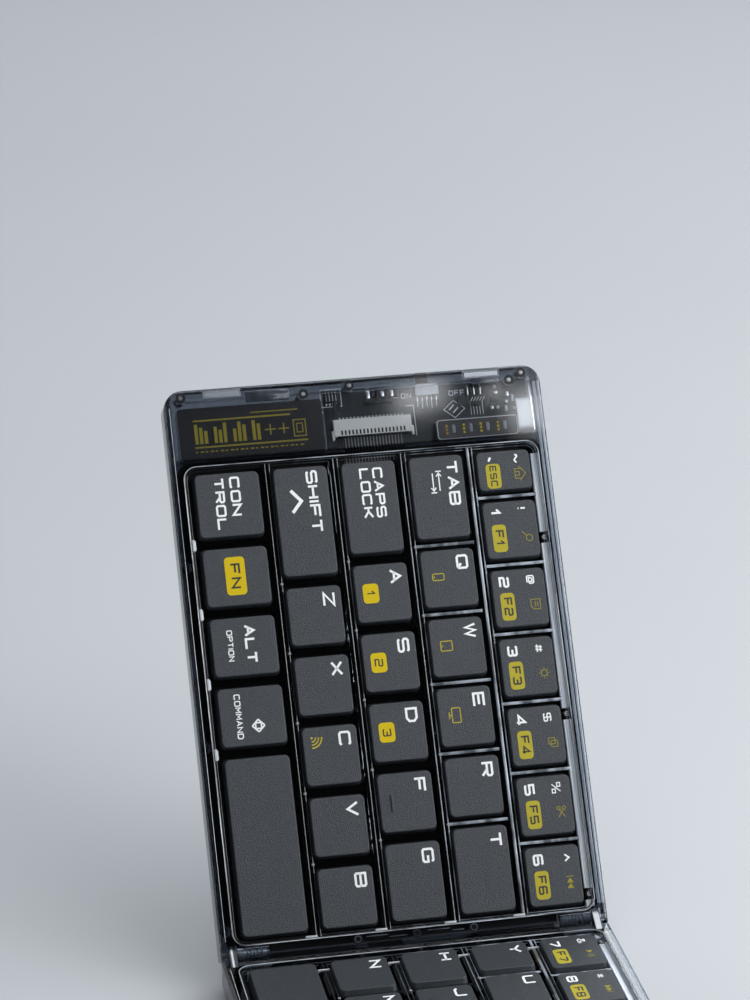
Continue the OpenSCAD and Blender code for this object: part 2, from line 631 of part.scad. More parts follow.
// Flat cable from the connector to the top of the key plate
module ribbon_cable() color([0.09, 0.08, 0.08]) on_left()
    translate([0, ribbon_front + ribbon_width, 0]) rotate([90, 0, 0]) linear_extrude(ribbon_width)
        polygon(concat(ribbon_path(ribbon_t), [for (i = [3:-1:0]) ribbon_path(0)[i]]));
function ribbon_path(up) = [[connector_s + 2, ribbon_z + up],
    [left_well_end + 0.6 * (1 - up), ribbon_z + up],
    [left_well_end - 0.1 - 0.6 * up, press_plate_top + up],
    [left_well_end - ribbon_tail, press_plate_top + up]];
module usb_c_port() color([0.82, 0.83, 0.85]) on_left() difference() {
    port_shell(0, 0);
    translate([0, 0.01, 0]) port_shell(0.35, 5);
}
module port_shell(inset, forward) translate([port_s + port_width / 2, port_back + forward, port_z])
    rotate([90, 0, 0]) linear_extrude(port_depth + forward - 3 * inset)
        polygon(round_box(-port_width / 2 + inset, -port_height / 2 + inset,
            port_width / 2 - inset, port_height / 2 - inset, port_height / 2 - inset - 0.02));
module indicator_panel() color([0.13, 0.13, 0.14]) on_left()
    prism(round_box(panel_s, panel_back - panel_length, panel_s + panel_width, panel_back, 0.9, 4),
        board_top, window_z - fit_gap);
module power_knob() color([0.12, 0.12, 0.13]) on_left()
    slab(board_end + fit_gap, knob_y - knob_width / 2, knob_z - knob_height / 2,
        half_length + knob_out, knob_y + knob_width / 2, knob_z + knob_height / 2);

module left_key(row, j) color([0.27, 0.28, 0.3]) on_left() key_cap([left_key_s(row, j), row_y(row),
    key_w(left_widths(row)[j]), row_size(row)]);
module right_key_row(row) color([0.27, 0.28, 0.3]) on_right() for (j = [0:len(right_widths(row)) - 1])
    key_cap([right_key_s(row, j), row_y(row), key_w(right_widths(row)[j]), row_size(row)]);

right_top_shell();
right_bottom_shell();
right_key_plate();
right_key_matrix();
right_hinge_shafts();
right_screws();
right_feet();
right_magnets();
hinge_link();
hinge_flex();
left_top_shell();
left_bottom_shell();
left_key_plate();
left_key_matrix();
left_hinge_shafts();
left_screws();
left_feet();
left_magnets();
main_board();
battery();
ribbon_cable();
ribbon_connector();
usb_c_port();
indicator_panel();
power_knob();
for (row = [0:ROWS - 1], j = [0:len(LEFT_KEYS[row]) - 1])
    left_key(row, j);
for (row = [0:ROWS - 1])
    right_key_row(row);
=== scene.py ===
import bpy
import json
import math
from mathutils import Matrix, Vector


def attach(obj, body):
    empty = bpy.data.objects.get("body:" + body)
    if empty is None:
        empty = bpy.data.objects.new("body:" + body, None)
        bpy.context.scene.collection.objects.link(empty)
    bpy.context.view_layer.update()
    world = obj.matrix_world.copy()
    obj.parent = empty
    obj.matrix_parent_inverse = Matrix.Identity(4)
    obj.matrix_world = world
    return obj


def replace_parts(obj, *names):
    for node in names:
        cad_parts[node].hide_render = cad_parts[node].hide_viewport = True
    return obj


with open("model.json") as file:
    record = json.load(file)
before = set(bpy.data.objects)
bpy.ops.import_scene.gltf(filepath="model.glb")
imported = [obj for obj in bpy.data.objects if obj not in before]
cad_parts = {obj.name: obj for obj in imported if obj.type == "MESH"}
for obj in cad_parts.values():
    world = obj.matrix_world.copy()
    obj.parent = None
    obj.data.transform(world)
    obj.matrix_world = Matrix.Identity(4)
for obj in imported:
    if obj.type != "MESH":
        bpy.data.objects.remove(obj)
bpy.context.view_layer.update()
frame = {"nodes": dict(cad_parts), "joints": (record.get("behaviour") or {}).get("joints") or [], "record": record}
nodes = frame["nodes"]

# Place of each half, from its hinge shaft. u runs to the right along the rows, y to the back and z up
# from the shaft, all in mm. On the left half, s is the distance outwards from the hinge, so u is -s
at = {j["name"]: j.get("pos_m") for j in frame["joints"]}
FOLD = math.radians(57)
RIGHT_AT, LEFT_AT = Vector(at["link_fold"]), Vector(at["lid_fold"])
sf, cf = math.sin(FOLD), math.cos(FOLD)
MM = Matrix.Scale(0.001, 4)
RIGHT = Matrix.Translation(RIGHT_AT) @ MM
LEFT = Matrix(((cf, 0, sf, LEFT_AT.x), (0, 1, 0, LEFT_AT.y), (-sf, 0, cf, LEFT_AT.z), (0, 0, 0, 1))) @ MM

# Sizes of the part in mm, as in its source
PITCH_X, PITCH_Y, GAP_X, GAP_Y = 18, 17.81, 3.25, 3.95
FRONT_DEPTH, START, BACK = 16.45, 3.86, 44.095
KEY_TOP, SKIRT, DRAFT = 2.0, -0.6, 0.55
RIM_TOP, RIB_TOP, BOARD_TOP, PLATE_TOP = 2.3, 0.9, -1.2, -2.2
HALF_LENGTH, BAY_S = 144.62, 126.02
WELL_FRONT, WELL_BACK, NOSE_RIM, WELL_CORNER = -46.395, 46.895, 1.62, 3.4
# Each half: name, place, body, the side it lies on, and the end of its key well
HALVES = [("left", LEFT, "left_half", -1, 124.42), ("right", RIGHT, "right_half", 1, 141.79)]
LEFT_UNITS, RIGHT_UNITS = 6.745, 7.71
LEFT_REST = [[1] * 6, [1] * 4 + [1.372], [1] * 4 + [1.245], [1] * 5, [1, 1, 1, 2.655]]
RIGHT_REST = [[1] * 6, [0.86] + [1] * 6, [1] * 6, [1] * 6, [2.71, 1, 1, 1, 1]]
LEFT_NAMES = [
    ["backquote", "1", "2", "3", "4", "5", "6"],
    ["tab", "q", "w", "e", "r", "t"],
    ["caps", "a", "s", "d", "f", "g"],
    ["shift", "z", "x", "c", "v", "b"],
    ["control", "fn", "alt", "meta", "left_space"]]
RIGHT_NAMES = [
    ["7", "8", "9", "0", "minus", "equals", "back"],
    ["y", "u", "i", "o", "p", "open", "close", "slash"],
    ["h", "j", "k", "l", "semicolon", "quote", "enter"],
    ["n", "m", "comma", "dot", "ask", "up", "right_shift"],
    ["right_space", "right_alt", "right_fn", "go_left", "go_down", "go_right"]]


def key_spots(half):
    """Every key as (row, name, u, y, width, depth)."""
    out = []
    for r in range(5):
        if half == "left":
            units = [LEFT_UNITS - sum(LEFT_REST[r])] + LEFT_REST[r]
            edge, names = -(START + LEFT_UNITS * PITCH_X - GAP_X), LEFT_NAMES[r]
        else:
            units = RIGHT_REST[r] + [RIGHT_UNITS - sum(RIGHT_REST[r])]
            edge, names = START, RIGHT_NAMES[r]
        depth = FRONT_DEPTH if r == 4 else PITCH_Y - GAP_Y
        y = BACK - r * PITCH_Y - depth / 2
        for n, k in zip(names, units):
            w = k * PITCH_X - GAP_X
            out.append((r, n, edge + w / 2, y, w, depth))
            edge += k * PITCH_X
    return out


def key_gaps(half):
    """The gap beside every key but the last of its row, as (row, u of its left edge, y, depth)."""
    spots = key_spots(half)
    return [(r, u + w / 2, y, d) for (r, n, u, y, w, d), nxt in zip(spots, spots[1:]) if nxt[0] == r]


# Materials


def node(tree, kind, **values):
    """A new node, with its properties and sockets set by name."""
    n = tree.nodes.new(kind)
    for k, v in values.items():
        if k in n.inputs:
            n.inputs[k].default_value = v
        else:
            setattr(n, k, v)
    return n


def mapped(tree, value, from_min, from_max, to_min=0.0, to_max=1.0, smooth=False):
    """A value carried from one range to another, and held within it."""
    n = node(tree, "ShaderNodeMapRange", interpolation_type="SMOOTHSTEP" if smooth else "LINEAR",
             **{"From Min": from_min, "From Max": from_max, "To Min": to_min, "To Max": to_max})
    tree.links.new(value, n.inputs["Value"])
    return n.outputs["Result"]


def combined(tree, operation, a, b):
    """Two values joined by a Math node, as MULTIPLY or MAXIMUM."""
    n = node(tree, "ShaderNodeMath", operation=operation)
    tree.links.new(a, n.inputs[0])
    tree.links.new(b, n.inputs[1])
    return n.outputs[0]


def stretched(tree, where, scale):
    """A place with each axis scaled."""
    n = node(tree, "ShaderNodeMapping", Scale=scale)
    tree.links.new(where, n.inputs["Vector"])
    return n.outputs["Vector"]


BUMP_HEIGHT = 0.0002


def material(name, a, b, scale, rough, rough_b, metal=0.0, bump=0.0, bump_scale=5000, coat=0.0,
             transmission=0.0, specular=0.5, stretch=None, contrast=0.0):
    """A procedural surface: colour runs from a to b, and roughness from rough to rough_b, over a noise."""
    m = bpy.data.materials.new(name)
    m.use_nodes = True
    t = m.node_tree
    p = t.nodes["Principled BSDF"]
    for socket, value in (("Metallic", metal), ("Coat Weight", coat), ("Coat Roughness", 0.03),
                          ("Transmission Weight", transmission), ("Specular IOR Level", specular)):
        p.inputs[socket].default_value = value
    where = t.nodes.new("ShaderNodeTexCoord").outputs["Object"]
    if stretch:
        where = stretched(t, where, stretch)
    noise = node(t, "ShaderNodeTexNoise", Scale=scale, Detail=3.0, Roughness=0.55)
    t.links.new(where, noise.inputs["Vector"])
    part = noise.outputs["Fac"]
    mix = node(t, "ShaderNodeMix", data_type="RGBA")
    mix.inputs["A"].default_value = (*a, 1)
    mix.inputs["B"].default_value = (*b, 1)
    t.links.new(mapped(t, part, 0.5 - contrast, 0.5 + contrast) if contrast else part, mix.inputs["Factor"])
    t.links.new(mix.outputs["Result"], p.inputs["Base Color"])
    t.links.new(mapped(t, part, 0, 1, rough, rough_b), p.inputs["Roughness"])
    if bump:
        grain = node(t, "ShaderNodeTexNoise", Scale=bump_scale, Detail=2.0, Roughness=0.6)
        t.links.new(where, grain.inputs["Vector"])
        n = node(t, "ShaderNodeBump", Strength=bump, Distance=BUMP_HEIGHT)
        t.links.new(grain.outputs["Fac"], n.inputs["Height"])
        t.links.new(n.outputs["Normal"], p.inputs["Normal"])
    return m


KEY = material("key_grain", (0.045, 0.052, 0.061), (0.020, 0.025, 0.031), 3000, 0.40, 0.56,
               bump=1.0, bump_scale=3800, specular=0.52, contrast=0.2)
WHITE = material("print_white", (0.98, 0.98, 0.98), (0.88, 0.89, 0.90), 3000, 0.5, 0.6)
YELLOW = material("print_yellow", (0.72, 0.53, 0.004), (0.62, 0.45, 0.004), 3000, 0.6, 0.75, bump=0.3,
                  bump_scale=7000, specular=0.25)
OLIVE = material("print_olive", (0.50, 0.42, 0.035), (0.42, 0.35, 0.03), 3000, 0.6, 0.75, bump=0.3,
                 bump_scale=7000, specular=0.25)
DIM = material("print_dim", (0.36, 0.31, 0.03), (0.28, 0.24, 0.022), 3000, 0.6, 0.75, specular=0.25)
DARK = material("print_dark", (0.022, 0.022, 0.02), (0.03, 0.03, 0.026), 3000, 0.55, 0.62)
SHELL, SHELL_LOW = (material(n, (0.15, 0.17, 0.20), (0.13, 0.147, 0.175), 60, 0.02, 0.05,
                             transmission=1.0) for n in ("shell_smoky", "shell_smoky_low"))
STEEL_BLACK = material("plate_black", (0.004, 0.004, 0.005), (0.007, 0.007, 0.008), 300, 0.3, 0.4,
                       bump=0.1, bump_scale=3000, specular=0.3)
FILM = material("matrix_film", (0.018, 0.019, 0.022), (0.03, 0.03, 0.034), 500, 0.4, 0.55)
# Steel of the link plates, with painted shade beside their bright stripes
LINK_STEEL_SHADED = material("link_steel_painted_shade", (0.62, 0.63, 0.65), (0.42, 0.43, 0.45), 700, 0.42, 0.56, metal=1.0,
                      stretch=(1, 0.05, 1), bump=0.08, bump_scale=2500)
FLEX = material("flat_cable", (0.014, 0.013, 0.013), (0.026, 0.024, 0.022), 600, 0.3, 0.45)
SCREW = material("screw_plain", (0.58, 0.59, 0.61), (0.42, 0.43, 0.45), 1500, 0.25, 0.4, metal=1.0)
RUBBER = material("foot_rubber", (0.018, 0.018, 0.02), (0.03, 0.03, 0.032), 1500, 0.75, 0.9, bump=0.5,
                  bump_scale=4000)
NICKEL = material("magnet_nickel", (0.86, 0.87, 0.89), (0.70, 0.71, 0.73), 500, 0.3, 0.42, metal=0.7)
BOARD = material("board_mask", (0.014, 0.018, 0.022), (0.022, 0.028, 0.034), 260, 0.28, 0.4, coat=0.3)
WRAP = material("battery_wrap", (0.010, 0.010, 0.013), (0.018, 0.018, 0.022), 400, 0.34, 0.5, bump=0.12,
                bump_scale=900)
IVORY = material("connector_ivory", (0.92, 0.91, 0.86), (0.82, 0.81, 0.76), 1500, 0.4, 0.55)
PORT = material("port_steel", (0.96, 0.97, 0.98), (0.86, 0.87, 0.89), 900, 0.4, 0.55, metal=0.35)
PANEL = material("panel_body", (0.030, 0.031, 0.033), (0.045, 0.046, 0.048), 900, 0.3, 0.42)
KNOB = material("knob_black", (0.02, 0.02, 0.023), (0.035, 0.035, 0.038), 1500, 0.45, 0.6)
SOLDER = material("solder", (0.72, 0.73, 0.75), (0.55, 0.56, 0.58), 2500, 0.2, 0.4, metal=1.0)
SILK = material("silk_white", (0.78, 0.80, 0.83), (0.60, 0.62, 0.65), 2500, 0.5, 0.65)
CHIP = material("chip_black", (0.012, 0.012, 0.013), (0.022, 0.022, 0.024), 2500, 0.5, 0.7)
PALE = material("pale_nylon", (0.62, 0.64, 0.67), (0.50, 0.52, 0.55), 1500, 0.35, 0.5)
PIN = material("pin_grey", (0.32, 0.34, 0.37), (0.2, 0.22, 0.24), 1500, 0.25, 0.4)
GLOW_OFF = material("pill_grey", (0.30, 0.31, 0.33), (0.22, 0.23, 0.25), 2000, 0.3, 0.45)
PRINT_GOLD = material("wrap_print", (0.44, 0.35, 0.025), (0.32, 0.25, 0.018), 1800, 0.45, 0.6)
# Painted light: a pale streaked colour for the ledges and the wall streaks, for the light carried in through the
# walls
LEDGE_PAINTED_LIGHT = material("ledge_painted_light", (0.95, 0.98, 1.0), (0.52, 0.60, 0.72), 1.0, 0.14, 0.3,
                 stretch=(60, 3400, 60), specular=0.7, contrast=0.12)
# Painted highlight: a bright colour for beads and strips that stand in for highlights on edges
LIP_HIGHLIGHT = material("lip_painted_highlight", (0.62, 0.67, 0.73), (0.05, 0.055, 0.065), 70, 0.1, 0.25, specular=0.8,
               contrast=0.12)
# Glossy black rib edges, with painted light towards the back wall
RIB_PAINTED_LIGHT = material("rib_edge_painted_light", (0.030, 0.034, 0.041), (0.012, 0.013, 0.016), 260, 0.16, 0.34, coat=0.2)
GLASS_GREY = material("glass_grey", (0.16, 0.18, 0.21), (0.07, 0.08, 0.10), 180, 0.05, 0.15, coat=0.5,
                      contrast=0.15)
SHAFT = material("shaft_pale", (0.80, 0.82, 0.85), (0.60, 0.62, 0.65), 700, 0.25, 0.4, metal=0.4)
AMBER = material("mark_amber", (0.55, 0.27, 0.02), (0.45, 0.22, 0.02), 2500, 0.45, 0.6)

CAD_LOOKS = {
    "smoky_shell": SHELL, "black_steel": STEEL_BLACK, "matrix_sheet": FILM, "hinge_steel": SHAFT,
    "flat_cable": FLEX, "screw_steel": SCREW, "foot_rubber": RUBBER, "magnet_nickel": NICKEL,
    "circuit_board": BOARD, "battery_wrap": WRAP, "connector_plastic": IVORY, "port_steel": PORT,
    "panel_plastic": PANEL, "knob_plastic": KNOB, "key_cap": KEY}


def place_of(tree):
    """The place that a surface's noise is already read at."""
    return next(n for n in tree.nodes if n.type == "TEX_COORD").outputs["Object"]


def near(tree, along, middle, half, soft):
    """1 where a place along a direction, from the left shaft, lies within half of middle, and 0 outside."""
    dot = node(tree, "ShaderNodeVectorMath", operation="DOT_PRODUCT")
    dot.inputs[1].default_value = along
    tree.links.new(place_of(tree), dot.inputs[0])
    off = node(tree, "ShaderNodeMath", operation="SUBTRACT")
    off.inputs[1].default_value = Vector(along).dot(LEFT_AT) + middle
    tree.links.new(dot.outputs["Value"], off.inputs[0])
    size = node(tree, "ShaderNodeMath", operation="ABSOLUTE")
    tree.links.new(off.outputs[0], size.inputs[0])
    return mapped(tree, size.outputs[0], half, half + soft, 1, 0)


def tinted(tree, colour, share, own="A"):
    """Mixes a colour into the surface's own, which is at share 0, or at share 1 where own is B."""
    base = tree.nodes["Principled BSDF"].inputs["Base Color"]
    mix = node(tree, "ShaderNodeMix", data_type="RGBA")
    tree.links.new(base.links[0].from_socket, mix.inputs[own])
    mix.inputs["B" if own == "A" else "A"].default_value = (*colour, 1)
    tree.links.new(share, mix.inputs["Factor"])
    tree.links.new(mix.outputs["Result"], base)


# The window over the bay is clearer than the walls. So are the round noses at the hinge, so that the
# shafts and washers show, and the back wall. All in metres
t = SHELL.node_tree
ALONG_Y = (0, 1, 0)
FADE = 0.0006
window_s, window_half = (BAY_S + HALF_LENGTH) / 2000, (HALF_LENGTH - BAY_S) / 2000 - FADE
tinted(t, (0.90, 0.93, 0.97), combined(t, "MULTIPLY", near(t, (-cf, 0, sf), window_s, window_half, FADE),
                                       near(t, ALONG_Y, 0.0014, 0.0489, FADE)))
tinted(t, (0.42, 0.46, 0.52), combined(t, "MULTIPLY", near(t, (1, 0, 0), -0.0016, 0.0036, FADE),
                                       near(t, (0, 0, 1), 0.0020, 0.0035, FADE)))
tinted(t, (0.46, 0.50, 0.56), near(t, ALONG_Y, 0.0485, 0.0014, 0.0003))

# Painted shade on the link plates: they are painted dark beside a bright stripe, as if shaded by the shell round
# them. The front plate lies more in shade, so its bright stripe is narrower
t = LINK_STEEL_SHADED.node_tree
tinted(t, (0.065, 0.070, 0.078), combined(t, "MAXIMUM", near(t, ALONG_Y, 0.04665, 0.00068, 0.0001),
                                          near(t, ALONG_Y, -0.04690, 0.00022, 0.0001)), "B")

# Painted light: the ribs' edges are painted brighter in streaks towards the back wall, where the light comes in
t = RIB_PAINTED_LIGHT.node_tree
split = t.nodes.new("ShaderNodeSeparateXYZ")
t.links.new(place_of(t), split.inputs[0])
streak = node(t, "ShaderNodeTexNoise", Scale=1.0, Detail=2.0)
t.links.new(stretched(t, place_of(t), (110, 260, 110)), streak.inputs["Vector"])
backwards = mapped(t, split.outputs["Y"], -0.030, 0.044, smooth=True)
patchy = mapped(t, streak.outputs["Fac"], 0.38, 0.60, 0.15, 1.0)
tinted(t, (0.46, 0.52, 0.60), combined(t, "MULTIPLY", backwards, patchy))

# Mesh tools. Print stands a little above its surface and reaches a little below it
SHARP_ANGLE = math.radians(32)
LINE_HIGH, BOX_HIGH, PRINT_LOW = 0.02, 0.012, 0.01


def turns(n):
    return [2 * math.pi * i / n for i in range(n)]


def ring(x0, y0, x1, y1, r, n):
    """Outline of a rounded rectangle, with n steps round each corner."""
    r = max(0.001, min(r, (x1 - x0) / 2 - 0.001, (y1 - y0) / 2 - 0.001))
    out = []
    for cx, cy, a in ((x1 - r, y1 - r, 0), (x0 + r, y1 - r, 90), (x0 + r, y0 + r, 180),
                      (x1 - r, y0 + r, 270)):
        for i in range(n + 1):
            k = math.radians(a + 90 * i / n)
            out.append((cx + r * math.cos(k), cy + r * math.sin(k)))
    return out


class Shape:
    """Collects faces in a half's own frame, each with the number of its material."""

    def __init__(self, mats):
        self.mats, self.v, self.f, self.m = mats, [], [], []

    def face(self, points, mat):
        """One flat face."""
        n = len(self.v)
        self.v += points
        self.f.append(tuple(range(n, n + len(points))))
        self.m.append(mat)

    def loft(self, rings, mat=0, cap_top=True, cap_bottom=True):
        """Joins rings of 3-D points, from the lowest to the highest."""
        n, k = len(self.v), len(rings[0])
        for r in rings:
            self.v += r
        for i in range(len(rings) - 1):
            for j in range(k):
                a, b = n + i * k + j, n + i * k + (j + 1) % k
                self.f.append((a, b, b + k, a + k))
                self.m.append(mat)
        if cap_top:
            self.f.append(tuple(range(n + (len(rings) - 1) * k, n + len(rings) * k)))
            self.m.append(mat)
        if cap_bottom:
            self.f.append(tuple(reversed(range(n, n + k))))
            self.m.append(mat)

    def pad(self, x0, y0, x1, y1, z0, z1, r, edge, mat=0):
        """A slab with rounded corners and softened top edges."""
        edge = min(edge, (z1 - z0) * 0.45, (x1 - x0) * 0.3, (y1 - y0) * 0.3)
        rings = [[(x, y, z0) for x, y in ring(x0, y0, x1, y1, r, 3)]]
        for i in range(3):
            a = math.radians(45 * i)
            g = edge * (1 - math.cos(a))
            rings.append([(x, y, z1 - edge + edge * math.sin(a))
                          for x, y in ring(x0 + g, y0 + g, x1 - g, y1 - g, max(r - g, 0.02), 3)])
        self.loft(rings, mat)

    def band(self, points, z, width, mat=0, closed=False):
        """A flat printed line of some width along points."""
        top, low = z + LINE_HIGH, z - PRINT_LOW
        pts = [Vector(p) for p in points]
        n = len(pts)
        left, right = [], []
        for i, p in enumerate(pts):
            a = pts[i - 1] if (i or closed) else None
            b = pts[(i + 1) % n] if (i < n - 1 or closed) else None
            d1 = (p - a).normalized() if a is not None else None
            d2 = (b - p).normalized() if b is not None else None
            d = (d1 or d2) if (d1 is None or d2 is None) else (d1 + d2)
            if d.length < 1e-6:
                d = d1
            d = d.normalized()
            q = Vector((-d.y, d.x))
            k = 1.0
            if d1 is not None and d2 is not None:
                k = 1 / max(0.45, abs(q.dot(Vector((-d1.y, d1.x)))))
            left.append(p + q * width / 2 * k)
            right.append(p - q * width / 2 * k)
        for i in range(n if closed else n - 1):
            j = (i + 1) % n
            quad = [left[i], right[i], right[j], left[j]]
            self.face([(p.x, p.y, top) for p in quad], mat)
            for a, b in ((right[i], right[j]), (left[j], left[i])):
                self.face([(a.x, a.y, low), (b.x, b.y, low), (b.x, b.y, top), (a.x, a.y, top)], mat)

    def disc(self, x, y, z0, z1, r, mat, n, edge, hole=0.0):
        """A low round boss with a softened top edge."""
        levels = [(r, z0), (r, z1 - edge), (r - edge, z1)] + ([(hole, z1), (hole, z0)] if hole else [])
        self.loft([[(x + g * math.cos(k), y + g * math.sin(k), z) for k in turns(n)] for g, z in levels],
                  mat, cap_bottom=not hole)

    def tube(self, path, r, mat, closed=True, flat=1.0):
        """A round bead along a path of (x, y, z), level with the half."""
        pts = [Vector(p) for p in path]
        rings = []
        for i, p in enumerate(pts):
            a = pts[i - 1] if (i or closed) else p
            b = pts[(i + 1) % len(pts)] if (i < len(pts) - 1 or closed) else p
            d = (b - a).normalized()
            q = Vector((-d.y, d.x, 0))
            rings.append([tuple(p + q * (r * math.cos(k)) + Vector((0, 0, r * flat * math.sin(k))))
                          for k in turns(8)])
        if closed:
            rings.append(rings[0])
        self.loft(rings, mat, not closed, not closed)

    def make(self, name, place, body):
        """The finished piece, set in its place on a body."""
        me = bpy.data.meshes.new(name)
        me.from_pydata([tuple(place @ Vector(p)) for p in self.v], [], self.f)
        for m in self.mats:
            me.materials.append(m)
        me.polygons.foreach_set("material_index", self.m)
        me.validate()
        me.update()
        me.polygons.foreach_set("use_smooth", [True] * len(me.polygons))
        me.set_sharp_from_angle(angle=SHARP_ANGLE)
        o = bpy.data.objects.new(name, me)
        bpy.context.scene.collection.objects.link(o)
        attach(o, body)
        return o


# Legends, with letters as lines on a grid of 8 by 8, two digits for a point
GLYPHS = {
    "A": "00 48 80;13 73", "B": "00 08 78 87 85 74 04;74 83 81 70 00", "C": "87 78 18 07 01 10 70 81",
    "D": "00 08 68 86 82 60 00", "E": "80 00 08 88;04 74", "F": "00 08 88;04 74",
    "G": "87 78 18 07 01 10 70 81 84 44", "H": "00 08;80 88;04 84", "I": "40 48", "J": "88 81 70 10 01 02",
    "K": "00 08;88 34 04;34 80", "L": "08 00 80", "M": "00 08 43 88 80", "N": "00 08 80 88",
    "O": "10 01 07 18 78 87 81 70 10", "P": "00 08 78 87 85 74 04",
    "Q": "10 01 07 18 78 87 81 70 10;53 80", "R": "00 08 78 87 85 74 04;44 80",
    "S": "87 78 18 07 05 14 74 83 81 70 10 01", "T": "08 88;48 40", "U": "08 01 10 70 81 88",
    "V": "08 40 88", "W": "08 20 48 60 88", "X": "00 88;08 80", "Y": "08 44 88;44 40", "Z": "08 88 00 80",
    "0": "10 01 07 18 78 87 81 70 10", "1": "05 48 40", "2": "07 18 78 87 85 74 14 03 00 80",
    "3": "07 18 78 87 85 74 34;74 83 81 70 10 01", "4": "60 68 02 82", "5": "88 08 04 74 83 81 70 10 01",
    "6": "87 78 18 07 01 10 70 81 83 74 04", "7": "08 88 86 30",
    "8": "14 05 07 18 78 87 85 74 14 03 01 10 70 81 83 74", "9": "01 10 70 81 87 78 18 07 05 14 84",
    "~": "03 16 26 52 62 85", "`": "08 83", "!": "48 43;41 40",
    "@": "62 66 36 24 22 32 62 83 87 78 18 07 01 10 70", "#": "20 38;50 68;02 82;16 86",
    "$": "87 78 18 07 05 14 74 83 81 70 10 01;49 40", "%": "10 78;08 38 35 05 08;53 83 80 50 53",
    "^": "14 48 74", "&": "80 17 38 57 02 10 40 83", "*": "48 42;13 77;17 73", "(": "68 46 42 60",
    ")": "28 46 42 20", "-": "14 74", "_": "00 80", "=": "12 72;16 76", "+": "14 74;47 41",
    "[": "68 28 20 60", "]": "28 68 60 20", "{": "68 46 24 42 60", "}": "28 46 64 42 20",
    "\\": "08 80", "|": "48 40", ";": "46 45;42 30", ":": "46 45;42 41", "'": "48 45",
    "\"": "28 25;68 65", ",": "41 20", ".": "40 41", "<": "78 04 70", ">": "18 84 10", "/": "00 88",
    "?": "07 18 78 87 75 44 43;41 40"}
NARROW = {"I": 0.2, "!": 0.2, ".": 0.2, ":": 0.2, "'": 0.2, "|": 0.2, "1": 0.8, "`": 0.6}


def glyph(sh, ch, x, y, w, h, line, mat, z):
    """Draws one letter with lines of a width."""
    for path in GLYPHS[ch].split(";"):
        pts = [(x + line / 2 + int(p[0]) / 8 * (w - line), y + line / 2 + int(p[1]) / 8 * (h - line))
               for p in path.split()]
        closed = len(pts) > 3 and pts[0] == pts[-1]
        sh.band(pts[:-1] if closed else pts, z, line, mat, closed)


def text(sh, word, x, y, w, h, line, mat, z, gap=0.4):
    """Writes a word from its lower left corner. w is the width of a usual letter."""
    for ch in word:
        k = NARROW.get(ch, 1.0)
        cw = max(line, w * k)
        if k < 0.3:
            glyph(sh, ch, x - (w - cw) / 2, y, w, h, line, mat, z)
        else:
            glyph(sh, ch, x, y, cw, h, line, mat, z)
        x += cw + gap


def centred(sh, word, cx, cy, w, h, line, mat, z, gap=0.4):
    """Writes a word round its middle."""
    total = sum(max(line, w * NARROW.get(c, 1.0)) + gap for c in word) - gap
    text(sh, word, cx - total / 2, cy - h / 2, w, h, line, mat, z, gap)


def box_print(sh, x0, y0, x1, y1, r, mat, z):
    """A filled printed box."""
    pts, top, low = ring(x0, y0, x1, y1, r, 4), z + BOX_HIGH, z - PRINT_LOW
    sh.face([(x, y, top) for x, y in pts], mat)
    for a, b in zip(pts, pts[1:] + pts[:1]):
        sh.face([(*a, low), (*b, low), (*b, top), (*a, top)], mat)


def arc(cx, cy, r, a, b, n):
    """Points on an arc from a to b degrees."""
    return [(cx + r * math.cos(math.radians(a + (b - a) * i / n)),
             cy + r * math.sin(math.radians(a + (b - a) * i / n))) for i in range(n + 1)]


